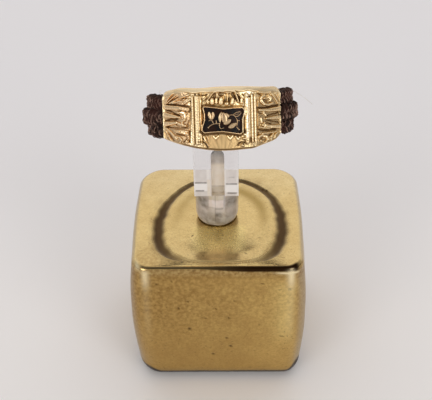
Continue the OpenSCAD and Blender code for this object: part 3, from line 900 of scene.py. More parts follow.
# the fan of flutes: where it is, how it opens downwards from its middle
FAN_SIDES = (-1.75, -1.35, 1.75, 2.1)
FAN_DOWN = (2.75, 3.1)
FAN_LEVEL = 3.16
FAN_OPENS = 0.36
FAN_ASIDE = 0.12
FLUTE_RISE = 0.008
FLUTE_PITCH = 0.60
GROUND_UNEVEN = 0.008
RELIEF_GAIN = 1.3
RELIEF_WIDEN = 1.12
# how wide and how high the reeds are, by where they stand in the photograph
REEDS = [(193.4, 0.16, 0.36), (196.8, 0.20, 0.34), (199.2, 0.15, 0.40), (201.3, 0.11, 0.34),
         (246.5, 0.29, 0.42), (251.4, 0.15, 0.40), (254.4, 0.15, 0.38)]
REED_PIXEL_Y = 120
REED_LOW = -3.45
REED_HIGH = 2.6
REED_ROUND = 0.2
# middle line of the rim round the enamel, in the photograph
RIM = [(203.3, 108), (204.9, 114.6), (204.9, 120.7), (202.9, 126.8), (202.5, 130.4), (204.7, 132.7),
       (212.3, 131.9), (222.5, 131.3), (232.7, 132.7), (239.8, 133.8), (242.4, 131.9), (242.3, 124.8),
       (242.3, 118.7), (243.9, 112.1), (243.8, 109), (241.3, 107.5), (232.7, 108), (223.7, 108.9),
       (214.3, 107.6), (206.0, 106.8), (203.8, 106.9)]
# raised strokes: half width at the start and the end, rise, and places in the photograph
RAISED = [
    # left panel, from the top down: fronds, scroll, four petals, calyx, fronds
    (0.09, 0.05, 0.20, [(167, 102.2), (169.5, 98), (172.6, 93.8)]),
    (0.10, 0.06, 0.22, [(167.8, 103.2), (172, 99), (176.8, 95.2)]),
    (0.11, 0.07, 0.22, [(170.5, 103.3), (175.5, 100.4), (180.5, 98.6)]),
    (0.14, 0.09, 0.26, [(189.4, 94.8), (185.5, 96), (181.5, 97.7)]),
    (0.12, 0.12, 0.22, [(173, 103.2), (179.5, 101.6), (184.5, 101.9), (188, 99)]),
    (0.15, 0.10, 0.24, [(190.4, 99.6), (187.6, 101.6), (184.4, 104)]),
    (0.24, 0.31, 0.26, [(188, 109.5), (178, 108), (167, 107.2)]),
    (0.10, 0.16, 0.28, [(187, 113.2), (182.8, 112.4), (178.6, 112.6)]),
    (0.14, 0.12, 0.34, [(185.6, 113.4), (186, 117), (185.4, 120.4)]),
    (0.12, 0.36, 0.28, [(180.8, 117.2), (174, 116.3), (166.8, 115)]),
    (0.16, 0.32, 0.27, [(177.5, 122.6), (171.5, 123.4), (166.5, 123.8)]),
    (0.12, 0.14, 0.25, [(177.3, 122), (181, 124), (186.2, 125.8)]),
    (0.11, 0.08, 0.26, [(184.2, 119.8), (182.6, 122.6), (184, 125.4)]),
    (0.15, 0.10, 0.26, [(188, 131.4), (181.5, 130.6), (175.5, 130.6)]),
    (0.13, 0.12, 0.22, [(188.5, 134), (183, 133), (177.5, 132.2)]),
    (0.12, 0.14, 0.24, [(167.8, 128.6), (172.4, 132.8), (177.4, 138.6)]),
    (0.09, 0.09, 0.22, [(167, 130.8), (169.4, 135.4), (172, 140)]),
    (0.06, 0.07, 0.18, [(166, 132.6), (167.6, 138.8)]),
    (0.12, 0.10, 0.25, [(176.4, 136.4), (180.6, 137.4), (182.6, 139.6), (181, 142)]),
    (0.17, 0.17, 0.30, [(187.6, 140.8), (187.9, 141.2)]),
    # right panel: fronds, scroll, petals, calyx, lower scroll, fronds
    (0.17, 0.14, 0.30, [(262.2, 95.6), (259.8, 98), (260.1, 101.6), (262.8, 104), (267.4, 104.7),
                        (271.2, 103)]),
    (0.12, 0.10, 0.26, [(267.8, 95.4), (270, 97.6), (269.4, 100.6)]),
    (0.10, 0.08, 0.20, [(263.4, 98.4), (266.2, 97.8)]),
    (0.10, 0.06, 0.22, [(271, 94.2), (274.2, 98.8), (277, 103.4)]),
    (0.08, 0.05, 0.20, [(274.4, 93.4), (277, 97.6), (279.4, 101.8)]),
    (0.12, 0.08, 0.20, [(258, 92), (264, 93), (270, 92.2)]),
    (0.14, 0.32, 0.27, [(258, 110), (268, 110), (279.6, 108.4)]),
    (0.10, 0.07, 0.32, [(262.8, 111.8), (264.8, 115.8)]),
    (0.12, 0.27, 0.26, [(265.5, 118.5), (272, 117.6), (280, 116.8)]),
    (0.15, 0.27, 0.26, [(262, 124.8), (271, 126.4), (279, 126.2)]),
    (0.11, 0.09, 0.33, [(263.2, 122.6), (263.8, 126)]),
    (0.11, 0.12, 0.22, [(258.5, 126.8), (263, 127.8), (268, 128)]),
    (0.15, 0.12, 0.28, [(257.4, 137), (260.8, 135.2), (265.4, 136), (267, 139), (264.6, 142)]),
    (0.14, 0.14, 0.26, [(260, 140.4), (260.4, 140.8)]),
    (0.12, 0.09, 0.22, [(262, 133.4), (268, 132.6), (275.5, 131.4)]),
    (0.09, 0.08, 0.22, [(270.6, 139.6), (270, 136.4), (272.6, 133.4)]),
    (0.08, 0.07, 0.20, [(274, 137.4), (274.4, 134.6), (277.2, 132)]),
    # shell: its arched edge, hanging bulbs and the bright leaf edges beside them
    (0.08, 0.10, 0.26, [(204.8, 104.2), (208, 99.6), (211.2, 95.4), (214.4, 92.2), (218, 91)]),
    (0.09, 0.09, 0.24, [(218, 91), (222.4, 91.6), (226, 90.6), (230, 90.8), (234, 91.4)]),
    (0.09, 0.08, 0.24, [(234, 91.4), (238.4, 94.2), (241.6, 98.4), (242.6, 103.2)]),
    (0.28, 0.28, 0.40, [(212.2, 100), (212.3, 102.6)]),
    (0.17, 0.18, 0.32, [(216.4, 98.6), (216.4, 102.6)]),
    (0.26, 0.30, 0.40, [(221.1, 98.8), (220.8, 102.6)]),
    (0.26, 0.26, 0.28, [(226.2, 103.2), (226.6, 103.4)]),
    (0.20, 0.26, 0.40, [(232.2, 98.8), (231.6, 102.8)]),
    (0.10, 0.11, 0.36, [(235, 93.4), (236.4, 97.4), (237.8, 101.6)]),
    (0.15, 0.17, 0.30, [(240.8, 98.6), (240.6, 102.4)]),
    (0.15, 0.16, 0.24, [(208.2, 103), (208.6, 101.4)]),
    # corner rosettes
    (0.11, 0.11, 0.26, [(200.7, 94.4), (200.8, 94.4)]),
    (0.12, 0.12, 0.28, [(204.8, 94.2), (205, 94.2)]),
    (0.10, 0.10, 0.22, [(201, 103.4), (201.4, 100.6)]),
    (0.10, 0.10, 0.24, [(203.8, 99.8), (206.2, 97.2)]),
    (0.12, 0.12, 0.28, [(244.6, 94.8), (244.7, 94.8)]),
    (0.11, 0.11, 0.26, [(248, 95), (248.1, 95)]),
    # fan below the enamel: corner leaves and the tips beside the columns
    (0.09, 0.07, 0.24, [(208, 136.4), (208.6, 140)]),
    (0.12, 0.10, 0.22, [(207.4, 143.6), (208.6, 146.2)]),
    (0.09, 0.09, 0.24, [(201.4, 133), (201.2, 135.4)]),
    (0.15, 0.12, 0.26, [(241.6, 144.8), (243.4, 145.4)]),
    (0.11, 0.11, 0.30, [(242.6, 138.2), (247, 138.6)]),
]
# bright cut facets, flat and leaning sideways: lean, half width and places in the photograph
FACETS = [
    # three chevrons at the upper edge of the fan and the tips beside them
    (1.0, 0.12, [(213.6, 136), (215.8, 138.8), (218.6, 135.8)]),
    (-1.0, 0.12, [(227.4, 136), (230.1, 138.9), (232.6, 135.8)]),
    (-1.0, 0.12, [(235.6, 136.2), (238, 139.6), (239.8, 136.8)]),
    (0.6, 0.12, [(204.2, 136.6), (205, 138.8), (206.2, 140.6)]),
    (0.3, 0.12, [(199.6, 138.2), (200.4, 137)]),
    (0.3, 0.12, [(201.8, 144), (202.6, 144.8)]),
    (-0.4, 0.12, [(243.8, 133.8), (244.4, 134.4)]),
    # the calyx and a leaf of the left panel
    (-0.8, 0.15, [(182.6, 112.2), (185, 113.4), (185.6, 117)]),
    (-0.8, 0.11, [(182.8, 132.2), (185.6, 132.8)]),
    # the calyx, scroll and leaves of the right panel
    (0.8, 0.13, [(263, 112.8), (264.6, 114.6)]),
    (0.8, 0.14, [(260.1, 118.2), (260.8, 122)]),
    (0.8, 0.12, [(263.4, 124.4), (264.2, 126.2)]),
    (1.2, 0.11, [(269.4, 126.6), (270.6, 127)]),
    (0.9, 0.13, [(260.6, 100), (262.8, 102.8)]),
    (1.2, 0.12, [(268.4, 97.4), (269.4, 99.6)]),
    (0.9, 0.11, [(262.8, 136), (265.4, 136.6)]),
]
FACET_RISE = 0.26
FACET_LEAN = 0.22
FACET_EDGE = (0.8, 1.3)
# cut strokes: half width at the start and the end, depth, and places in the photograph
CUT = [
    # left panel, then right panel
    (0.07, 0.12, 0.20, [(165.9, 104.3), (177.9, 105.2), (191.2, 107)]),
    (0.09, 0.07, 0.20, [(165.8, 109.8), (171.2, 111.5), (175.6, 114.1), (179.8, 116)]),
    (0.06, 0.05, 0.14, [(176, 109.2), (183, 110.4), (188.6, 109.8)]),
    (0.12, 0.07, 0.22, [(165.4, 120.9), (171.2, 119.5), (175.6, 120), (178, 118.5)]),
    (0.08, 0.08, 0.18, [(165.2, 126.7), (175.6, 128), (181.4, 127.7), (188.6, 128)]),
    (0.06, 0.06, 0.16, [(175.4, 124), (177.4, 126), (181.5, 127.4)]),
    (0.10, 0.10, 0.22, [(188.4, 108.6), (188.8, 112)]),
    (0.10, 0.08, 0.20, [(188.8, 121), (187.6, 124.6), (188.6, 128.6)]),
    (0.07, 0.05, 0.16, [(168, 132.2), (171, 136.4), (174, 140.6)]),
    (0.05, 0.04, 0.12, [(165.9, 131.4), (167, 135), (168, 139)]),
    (0.05, 0.04, 0.13, [(174.6, 93.4), (171, 98), (167.4, 103)]),
    (0.05, 0.04, 0.13, [(178.4, 96.8), (174, 99.4), (168.8, 102.8)]),
    (0.05, 0.05, 0.14, [(178.2, 99.4), (183, 98.8), (187, 98.2)]),
    (0.06, 0.07, 0.18, [(176, 133.8), (180, 134.9), (184.5, 135.6), (187, 137.4), (186.6, 139.6),
                        (183.5, 142.2)]),
    (0.12, 0.10, 0.22, [(190.4, 107), (190.2, 117), (189.9, 129), (189.6, 142)]),
    (0.07, 0.05, 0.12, [(190.6, 99), (190.5, 107)]),
    (0.06, 0.11, 0.22, [(256.8, 107.5), (264.9, 107.6), (271, 106.1), (279.3, 104.9)]),
    (0.07, 0.05, 0.16, [(257.2, 112.2), (262.2, 113.8)]),
    (0.06, 0.08, 0.20, [(265.2, 116.5), (271.6, 114.1), (280.2, 111.8)]),
    (0.05, 0.07, 0.18, [(266, 119.7), (272, 121), (279.6, 122.4)]),
    (0.05, 0.05, 0.14, [(265.4, 122), (271.8, 124.4)]),
    (0.07, 0.08, 0.20, [(257.6, 129.2), (263, 130.3), (268, 130.3), (276.4, 128.8)]),
    (0.16, 0.16, 0.20, [(258.1, 133.2), (258.4, 133.6)]),
    (0.17, 0.15, 0.20, [(263.8, 100.8), (267, 101.2)]),
    (0.06, 0.06, 0.14, [(257, 93.4), (260.4, 95), (264, 95.2)]),
    (0.05, 0.05, 0.14, [(265.4, 93.8), (268.8, 95.8)]),
    (0.05, 0.05, 0.15, [(272.6, 94.4), (275.4, 98.8), (278.3, 102.4)]),
    (0.12, 0.12, 0.16, [(261.6, 138.2), (262.6, 138.4)]),
    (0.06, 0.05, 0.14, [(268.8, 140.8), (268, 136.6), (271, 133.4)]),
    (0.05, 0.05, 0.13, [(272.2, 138.6), (272, 135.6), (274.6, 132.8)]),
    (0.09, 0.08, 0.16, [(257.2, 100), (257.2, 118), (257, 138)]),
    # hollows of the shell, cuts in the corner rosettes and at the corners of the fan
    (0.24, 0.20, 0.20, [(214, 94.4), (214.6, 97)]),
    (0.22, 0.24, 0.22, [(219.6, 94.2), (223.4, 94.2)]),
    (0.22, 0.17, 0.24, [(225.4, 94.4), (225.6, 101.4)]),
    (0.20, 0.15, 0.24, [(229.4, 94.6), (229, 100.4)]),
    (0.20, 0.12, 0.22, [(232.4, 94.2), (234.8, 98.6)]),
    (0.09, 0.06, 0.18, [(238.2, 97), (239.2, 101.6)]),
    (0.08, 0.09, 0.16, [(198.4, 94.2), (202.8, 95.6), (206.8, 94.8)]),
    (0.09, 0.08, 0.18, [(242.4, 94.4), (245.6, 97.2), (249.4, 96.4)]),
    (0.10, 0.10, 0.20, [(194.8, 94.6), (195, 95.2)]),
    (0.09, 0.09, 0.20, [(252.6, 94.4), (253, 95.4)]),
    (0.06, 0.08, 0.16, [(198.8, 141.9), (202.9, 141.7), (206.2, 144.4), (207.6, 147)]),
    (0.06, 0.07, 0.16, [(237.2, 145.4), (239.2, 142.7), (242.5, 141.9), (246.4, 143.2)]),
    (0.07, 0.07, 0.18, [(243.2, 143.8), (243.6, 144.2)]),
    (0.05, 0.05, 0.05, [(236.4, 139.4), (237, 143)]),
    (0.05, 0.05, 0.13, [(202.8, 137), (203.4, 140.4)]),
]
# strokes of painted shade: half width at the start and the end, strength, and places in the photograph
SHADE_STROKES = [
    (0.13, 0.17, 0.75, [(203.6, 142.0), (206.6, 144.2), (208.0, 146.8)]),
    (0.17, 0.12, 0.75, [(238.6, 145.4), (239.4, 143.0), (241.6, 141.8)]),
    (0.12, 0.20, 0.50, [(246.6, 140.4), (249.4, 143.2), (254, 145.2)]),
    (0.06, 0.06, 0.50, [(213.0, 137.6), (215.9, 140.8), (218.6, 137.6)]),
    (0.06, 0.06, 0.50, [(227.0, 137.4), (230.1, 141.1), (233.0, 137.4)]),
    (0.06, 0.06, 0.50, [(235.4, 137.8), (238.0, 141.4), (240.4, 138.6)]),
    (0.08, 0.06, 0.45, [(211.2, 136.0), (209.8, 139.0), (210.4, 142.4)]),
]
ring_axes = Matrix.Rotation(math.radians(RING_TURN), 3, "Z")
ring_axes = ring_axes @ Matrix.Rotation(-math.radians(RING_LEAN), 3, "X")


def in_ring_place(spots):
    """Places in millimetres in the ring's own frame, its axis up, moved to where the ring is."""
    return spots @ np.array(ring_axes).T + np.array(RING_PLACE)


def on_front(pixel_x, pixel_y):
    """Arc length and height in millimetres where a view through the photograph meets the front."""
    into_ring = ring_axes.transposed()
    start = into_ring @ (camera_place / MM - Vector(RING_PLACE))
    line = into_ring @ sight_line(pixel_x, pixel_y)
    square = line.x * line.x + line.y * line.y
    cross = start.x * line.x + start.y * line.y
    rest = start.x * start.x + start.y * start.y - FRONT_R * FRONT_R
    reach = (-cross - math.sqrt(max(cross * cross - square * rest, 0))) / square
    hit = start + line * reach
    return FRONT_R * math.atan2(hit.x, -hit.y), hit.z


along = FRONT_R * np.radians(np.linspace(FRONT_LEFT, FRONT_RIGHT, FRONT_STEPS_AROUND))
from_end = np.minimum(along - along[0], along[-1] - along)


def corner_drop(corner_r):
    """How far a round corner draws an edge in, along the gold front."""
    return corner_r - np.sqrt(np.clip(corner_r ** 2 - np.clip(corner_r - from_end, 0, None) ** 2, 0, None))


edge_up = FRONT_TOP - FRONT_TOP_DROP * np.sin(along / FRONT_R) ** 2
edge_up -= CORNER_FLATTENED * corner_drop(FRONT_TOP_CORNER_R)
edge_down = FRONT_FOOT - FRONT_FOOT_DROP * np.sin(along / FRONT_R - math.radians(FRONT_FOOT_MIDDLE)) ** 2
edge_down -= CORNER_FLATTENED * np.where(along < 0, corner_drop(FRONT_FOOT_CORNER_LEFT_R),
                                         corner_drop(FRONT_FOOT_CORNER_RIGHT_R))
for edge, swells in ((edge_up, TOP_SWELLS), (edge_down, FOOT_SWELLS)):
    for gain, middle, half in swells:
        edge += gain * bell(along, middle, half)
# places on the unrolled front, by arc length and height, and how far each is from the front's edges
climb = np.linspace(0, 1, FRONT_STEPS_UP)
across = np.repeat(along[:, None], FRONT_STEPS_UP, axis=1)
upward = -edge_down[:, None] + (edge_up + edge_down)[:, None] * climb[None, :]
top_gap = edge_up[:, None] - upward
foot_gap = upward + edge_down[:, None]
end_gap = np.repeat(from_end[:, None], FRONT_STEPS_UP, axis=1)
from_middle = np.abs(across)


def nearness_to(spots, first_half, last_half):
    """Distance of each place on the front to a bent line, measured in the line's half widths."""
    nearest = np.full(across.shape, 99.0)
    for k in range(len(spots) - 1):
        (a0, a1), (b0, b1) = spots[k], spots[k + 1]
        run, rise = b0 - a0, b1 - a1
        share = ((across - a0) * run + (upward - a1) * rise) / (run * run + rise * rise + 1e-9)
        share = np.clip(share, 0, 1)
        half = first_half + (last_half - first_half) * (k + share) / (len(spots) - 1)
        gap = np.hypot(across - a0 - share * run, upward - a1 - share * rise)
        nearest = np.minimum(nearest, gap / half)
    return nearest


def soften(field, times):
    """A field of numbers, each averaged with its neighbours a number of times."""
    for _ in range(times):
        wide = np.pad(field, 1, mode="edge")
        field = (wide[:-2, 1:-1] + wide[2:, 1:-1] + wide[1:-1, :-2] + wide[1:-1, 2:] + 4 * field) / 8
    return field


def with_strokes(field, strokes):
    """A field of numbers with soft-edged strokes in it: half widths, strength and places."""
    for first_half, last_half, strength, pixels in strokes:
        away = nearness_to([on_front(*p) for p in pixels], first_half, last_half)
        field = np.maximum(field, strength * np.clip(1.25 - away ** 2, 0, 1))
    return field


# the ornament, as heights over the plain front
carved = np.zeros(across.shape)
for first_half, last_half, rise, pixels in RAISED:
    away = nearness_to([on_front(*p) for p in pixels], first_half, last_half) / RELIEF_WIDEN
    carved = np.maximum(carved, RELIEF_GAIN * rise * np.sqrt(np.clip(1 - away ** 3, 0, 1)))
for pixel_x, half, rise in REEDS:
    stand = on_front(pixel_x, REED_PIXEL_Y)[0]
    away = nearness_to([(stand, REED_LOW), (stand, REED_HIGH)], half, half)
    carved = np.maximum(carved, rise * np.sqrt(np.clip(1 - away ** 6, 0, 1)) * (1 - REED_ROUND * away ** 2))
facets = np.zeros(across.shape)
for lean, half, pixels in FACETS:
    near = 1 - smooth_step(nearness_to([on_front(*p) for p in pixels], half, half), *FACET_EDGE)
    facets = np.maximum(facets, near)
    leaning = FACET_RISE + FACET_LEAN * lean * (across - on_front(*pixels[1])[0])
    carved = carved * (1 - near) + leaning * near
cut_deep = with_strokes(np.zeros(across.shape), CUT)
# the lips along both edges cover the ends of the ornament
lip_w = LIP_W + LIP_WAVER * np.sin(across * 3.1)
lip_w -= np.where(across < 0, *LIP_NARROWS) * smooth_step(from_middle, *LIP_NARROWS_OUT)
carved = np.maximum(carved, LIP_RISE * (1 - smooth_step(top_gap, lip_w - LIP_EDGE, lip_w)))
carved = np.maximum(carved, FOOT_LIP_RISE * (1 - smooth_step(foot_gap, *FOOT_LIP_EDGE)))
# rim at each end, with a scalloped inner edge
scallop = SCALLOP_SWING * np.abs(np.sin(np.pi * (upward + SCALLOP_START) / SCALLOP_PITCH))
scallop += np.where(across <= 0, *SCALLOP_W)
end_rim = END_RIM_RISE * np.sqrt(np.clip(1 - ((end_gap - scallop / 2) / (scallop / 2)) ** 2, 0, 1))
carved = np.where(end_gap < scallop, end_rim, carved)
carved -= cut_deep * (top_gap > CUTS_UNDER_LIP) * (foot_gap > CUTS_OVER_FOOT)
# rim of the enamel, with a chased line outside it and the well inside it
rim_line = [on_front(*p) for p in RIM]
rim_line.append(rim_line[0])
rim_away = nearness_to(rim_line, RIM_HALF, RIM_HALF)
turns = np.zeros(across.shape)
for (a0, a1), (b0, b1) in zip(rim_line[:-1], rim_line[1:]):
    side = (b0 - a0) * (upward - a1) - (across - a0) * (b1 - a1)
    turns += ((a1 <= upward) & (b1 > upward) & (side > 0)).astype(float)
    turns -= ((a1 > upward) & (b1 <= upward) & (side < 0)).astype(float)
in_rim = np.abs(turns) > 0.5
carved = np.where(rim_away < RIM_GROUND_AWAY, np.minimum(carved, RIM_GROUND_RISE), carved)
carved -= RIM_LINE_DEPTH * np.clip(1 - ((rim_away - RIM_LINE_AWAY) / RIM_LINE_HALF) ** 2, 0, 1) * ~in_rim
rim_round = RIM_RISE * np.sqrt(np.clip(1 - rim_away ** 2, 0, 1))
carved = np.where(rim_away < 1, np.maximum(carved, rim_round), carved)
carved = np.where(in_rim & (rim_away > 0.9), -WELL_DEPTH, carved)
carved = soften(carved, 1)
# flutes that open downwards like a fan, barely raised
spread = across / (1 + FAN_OPENS * (upward + FAN_LEVEL)) - FAN_ASIDE
fluting = np.cos(2 * np.pi * spread / FLUTE_PITCH)
carved += FLUTE_RISE * window(across, *FAN_SIDES) * smooth_step(-upward, *FAN_DOWN) * (1 + fluting)
# chasing left the ground a little uneven, in ripples half a millimetre across
uneven = np.sin(across * 9 + 2 * np.sin(upward * 5)) * np.sin(upward * 11 + 2 * np.sin(across * 6))
carved += GROUND_UNEVEN * uneven * (1 - in_rim)

# Tarnish, polish, painted shade and highlights, and the parts of the front: each is a share from
# 0 to 1 for every place, with the same kinds of pairs as above.
SOFTENED = 60
LEAST_STEP = 0.02
DEEP_STEP = 0.17
HIGH_STEP = 0.10
LEFT_PANEL_OUT = (4.1, 4.4)
RIGHT_PANEL_OUT = (4.5, 4.8)
GROUND_HEIGHTS = (0.04, 0.24)
LEFT_GROUND = 0.38
RIGHT_GROUND = 0.48
RIGHT_GROUND_UP = (1.9, 2.5)
RIGHT_GROUND_UP_LOSS = 0.7
SHELL_UP = (1.3, 1.6)
SHELL_ENDS = (2.3, 2.6)
SHELL_TARNISH = 0.10
FAN_MIDDLE = 0.1
FAN_ENDS = (2.3, 2.6)
FAN_PART_DOWN = (2.2, 2.6)
FAN_TARNISH = 0.28
FLUTE_SHADE = 0.09
FAN_MOTTLE = 0.07
COLUMNS_OUT = (2.7, 2.9, 4.2, 4.4)
COLUMN_POLISH = (0.08, 0.26)
COLUMN_FOOT_DOWN = (2.7, 3.1)
COLUMN_FOOT_ENDS = (4.1, 4.4)
COLUMN_FOOT_FROM = (2.3, 2.7)
COLUMN_FOOT_TARNISH = 0.28
COLUMN_FOOT_DULLING = 0.6
LIP_RUBBED_W = 0.52
LIP_RUBBED = 0.8
TOP_LEFT_UP = (1.0, 1.5)
TOP_LEFT_TARNISH = 0.25
TOP_LEFT_POLISH = 0.18
CUT_FULL = 0.08
UNDER_RIM_FADE = (3.0, 6.0)
UNDER_RIM_DOWN = (1.65, 1.9)
UNDER_RIM_SHADOW = 0.8
PINK_RIM_ENDS = 2.2
PINK_RIM_DULLING = 0.7
LOW_EDGE_FADE = (0.11, 0.30)
LOW_EDGE_MIDDLE = -0.5
LOW_EDGE_ENDS = (4.4, 6.0)
LOW_EDGE_SHADOW = 0.8
hollow = np.clip((soften(carved, SOFTENED) - carved - LEAST_STEP) / DEEP_STEP, 0, 1)
# tarnish and painted shade also lie on the ground of both side panels
panel = (end_gap > scallop) * (top_gap > lip_w)
left_panel = smooth_step(-across, *LEFT_PANEL_OUT) * panel
right_panel = smooth_step(across, *RIGHT_PANEL_OUT) * panel
ground = 1 - smooth_step(carved, *GROUND_HEIGHTS)
right_ground = RIGHT_GROUND * right_panel
right_ground *= 1 - RIGHT_GROUND_UP_LOSS * smooth_step(upward, *RIGHT_GROUND_UP)
hollow = np.maximum(hollow, (LEFT_GROUND * left_panel + right_ground) * ground)
# the shell and the fan are duller than the columns, whose gaps have kept clean, and painted shade marks the
# fan's flutes
in_shell = smooth_step(upward, *SHELL_UP) * (1 - smooth_step(from_middle, *SHELL_ENDS)) * (top_gap > lip_w)
fan = smooth_step(-upward, *FAN_PART_DOWN) * (1 - smooth_step(np.abs(across - FAN_MIDDLE), *FAN_ENDS))
fan = soften(fan * (carved < 0.2) * (facets < 0.1), 2)
fan_tarnish_and_flute_shade = FAN_TARNISH - FLUTE_SHADE * fluting + FAN_MOTTLE * np.cos(6.1 * spread + 2 * upward)
hollow = np.maximum(hollow + SHELL_TARNISH * in_shell, fan_tarnish_and_flute_shade * fan)
# at the upper left the cuts are dark and the rest is rubbed clean
top_left = left_panel * smooth_step(upward, *TOP_LEFT_UP)
in_cut = np.clip(cut_deep / CUT_FULL, 0, 1)
hollow += top_left * (TOP_LEFT_TARNISH * in_cut - TOP_LEFT_POLISH * (1 - in_cut))
# the foot of the right column is dull
between_reeds = window(from_middle, *COLUMNS_OUT) * (top_gap > lip_w)
column_foot = smooth_step(-upward, *COLUMN_FOOT_DOWN) * (across > 0)
column_foot *= 1 - smooth_step(across, *COLUMN_FOOT_ENDS)
hollow -= np.where(across < 0, *COLUMN_POLISH) * between_reeds * (1 - column_foot)
hollow += COLUMN_FOOT_TARNISH * column_foot * smooth_step(across, *COLUMN_FOOT_FROM)
# strokes of painted shade
hollow = with_strokes(hollow, SHADE_STROKES)
# a dark painted shadow lies under the lower side of the rim
shadow_under_rim = (1 - smooth_step(rim_away, *UNDER_RIM_FADE)) * (rim_away > 1.1)
shadow_under_rim *= smooth_step(-upward, *UNDER_RIM_DOWN)
hollow = np.maximum(hollow, UNDER_RIM_SHADOW * shadow_under_rim * (1 - in_rim))
lip_rubbed_w = np.maximum(lip_w, LIP_RUBBED_W)
hollow = np.clip(hollow, 0, 1) * (top_gap > lip_rubbed_w - 0.1) * (1 - facets)
# a painted shadow along the lower edge
low_edge_shadow = 1 - smooth_step(foot_gap, *LOW_EDGE_FADE)
low_edge_shadow *= 1 - smooth_step(np.abs(across - LOW_EDGE_MIDDLE), *LOW_EDGE_ENDS)
hollow = np.maximum(hollow, LOW_EDGE_SHADOW * low_edge_shadow)
# ridges, lips and rims are rubbed bright and carry painted highlights, least of all the left part of the
# enamel's rim
crest = np.clip((carved - soften(carved, SOFTENED) - LEAST_STEP) / HIGH_STEP, 0, 1)
crest = np.maximum(crest, end_gap < scallop) * (1 - COLUMN_FOOT_DULLING * column_foot)
crest = np.maximum(np.maximum(crest, facets), LIP_RUBBED * (top_gap < lip_rubbed_w))
pink_rim = (rim_away < 1.2) * (across < PINK_RIM_ENDS)
crest = soften(crest, 1) * (1 - PINK_RIM_DULLING * pink_rim)
left_panel = np.maximum(left_panel, pink_rim)
# the lip is rolled back towards the edge
lip_fall = LIP_FALL * (1 + LIP_FALL_GAIN * smooth_step(from_middle, *LIP_FALL_OUT))
carved -= lip_fall * np.clip(1 - top_gap / LIP_W, 0, 1) ** 1.6


def rolled_edge(outer_r, edge, beyond):
    """Points round an edge, from the outer face to the finger side. It bulges up or down."""
    outside = [(outer_r + out, edge + beyond * over) for out, over in ROLL_OUTSIDE]
    return outside + [(FINGER_R + out, edge + beyond * over) for out, over in ROLL_INSIDE]


# closed section at each step: outer face up, upper edge, finger side down, lower edge
sections = []
for k in range(FRONT_STEPS_AROUND):
    outer_r = FRONT_R + carved[k]
    over = rolled_edge(outer_r[-1], edge_up[k], 1)
    under = rolled_edge(outer_r[0], -edge_down[k], -1)
    back = [(FINGER_R, level) for level in np.linspace(over[-1][1], under[-1][1], BACK_STEPS + 2)[1:-1]]
    sections.append(np.concatenate([np.stack([outer_r, upward[k]], axis=1), over, back, under[::-1]]))


def shrunk(section, inset):
    """A section drawn in towards its middle by an inset."""
    made = section.copy()
    outside = section[:, 0] > (FRONT_R + FINGER_R) / 2
    made[:, 0] = np.where(outside, section[:, 0] - inset, section[:, 0] + inset * END_INNER_SHARE)
    made[:, 1] = section[:, 1] * (1 - inset / END_HALF_HEIGHT)
    return made


# both ends are rounded off
first = [(shrunk(sections[0], inset), along[0] + depth_in) for depth_in, inset in ROUNDED_ENDS]
last = [(shrunk(sections[-1], inset), along[-1] - depth_in) for depth_in, inset in reversed(ROUNDED_ENDS)]
kept = list(zip(sections, along))[len(ROUNDED_ENDS):-len(ROUNDED_ENDS)]
shapes = np.array([section for section, _ in first + kept + last])
angles = np.array([arc for _, arc in first + kept + last])[:, None] / FRONT_R
front_points = np.stack([shapes[..., 0] * np.sin(angles), -shapes[..., 0] * np.cos(angles), shapes[..., 1]],
                        axis=-1)
gold_casting = skin("gold_casting", in_ring_place(front_points))
front_marks = {"hollow": hollow, "crest": crest, "left panel": left_panel, "right panel": right_panel,
               "lip": soften(np.where(top_gap < lip_rubbed_w, 1.0, 0.0), 3), "fan": fan,
               "left column": between_reeds * (across < 0),
               "right column": between_reeds * (across > 0) * (1 - column_foot)}
for name, values in front_marks.items():
    stored = np.zeros(shapes.shape[:2])
    stored[:, :FRONT_STEPS_UP] = values
    paint(gold_casting, name, stored)

GOLD = (0.86, 0.67, 0.37, 1)
GOLD_PINK = (0.84, 0.55, 0.30, 1)
GOLD_TARNISH_AND_SHADE = (0.17, 0.095, 0.038, 1)
# the part of the front, the share of its colour and the colour
GOLD_PARTS = [
    ("left panel", 0.6, (0.86, 0.59, 0.36, 1)),
    ("right panel", 0.75, (0.81, 0.59, 0.31, 1)),
    ("crest", 0.55, (1.0, 0.83, 0.54, 1)),
    ("lip", 0.8, (0.92, 0.75, 0.485, 1)),
    ("fan", 0.7, (0.83, 0.57, 0.265, 1)),
    ("left column", 0.8, (0.70, 0.565, 0.36, 1)),
    ("right column", 0.8, (0.90, 0.78, 0.57, 1)),
]
TARNISH_AND_SHADE_SHARES = (0.05, 0.85, 0.0, 0.92)
gold, tree, shader, place = finish_for("chased gold")
marks = marks_on(tree, place, 0.12, 1.6, 0.1)
# the number stored as hollow holds both tarnish and painted shade
tarnish_and_shade = painted(tree, "hollow")
colour = mix_colours(tree, share_of(tree, marks["Blotch"], 0.4), GOLD, GOLD_PINK)
colour = layered(tree, colour, GOLD_PARTS)
colour = mix_colours(tree, step_up(tree, tarnish_and_shade, *TARNISH_AND_SHADE_SHARES), colour, GOLD_TARNISH_AND_SHADE)
tree.links.new(colour, shader.inputs["Base Color"])
rough = raised_by(tree, 0.11, marks["Grain"], 0.06)
for value, gain in ((tarnish_and_shade, 0.25), (painted(tree, "lip"), 0.20), (painted(tree, "fan"), 0.22)):
    rough = raised_by(tree, rough, value, gain)
tree.links.new(rough, shader.inputs["Roughness"])
tree.links.new(raised_by(tree, 1.0, tarnish_and_shade, -0.12), shader.inputs["Metallic"])
engrained(tree, shader, marks["Grain"], 0.2, 0.006)
gold_casting.data.materials.append(gold)
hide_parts("gold_front")
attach(gold_casting, "root")


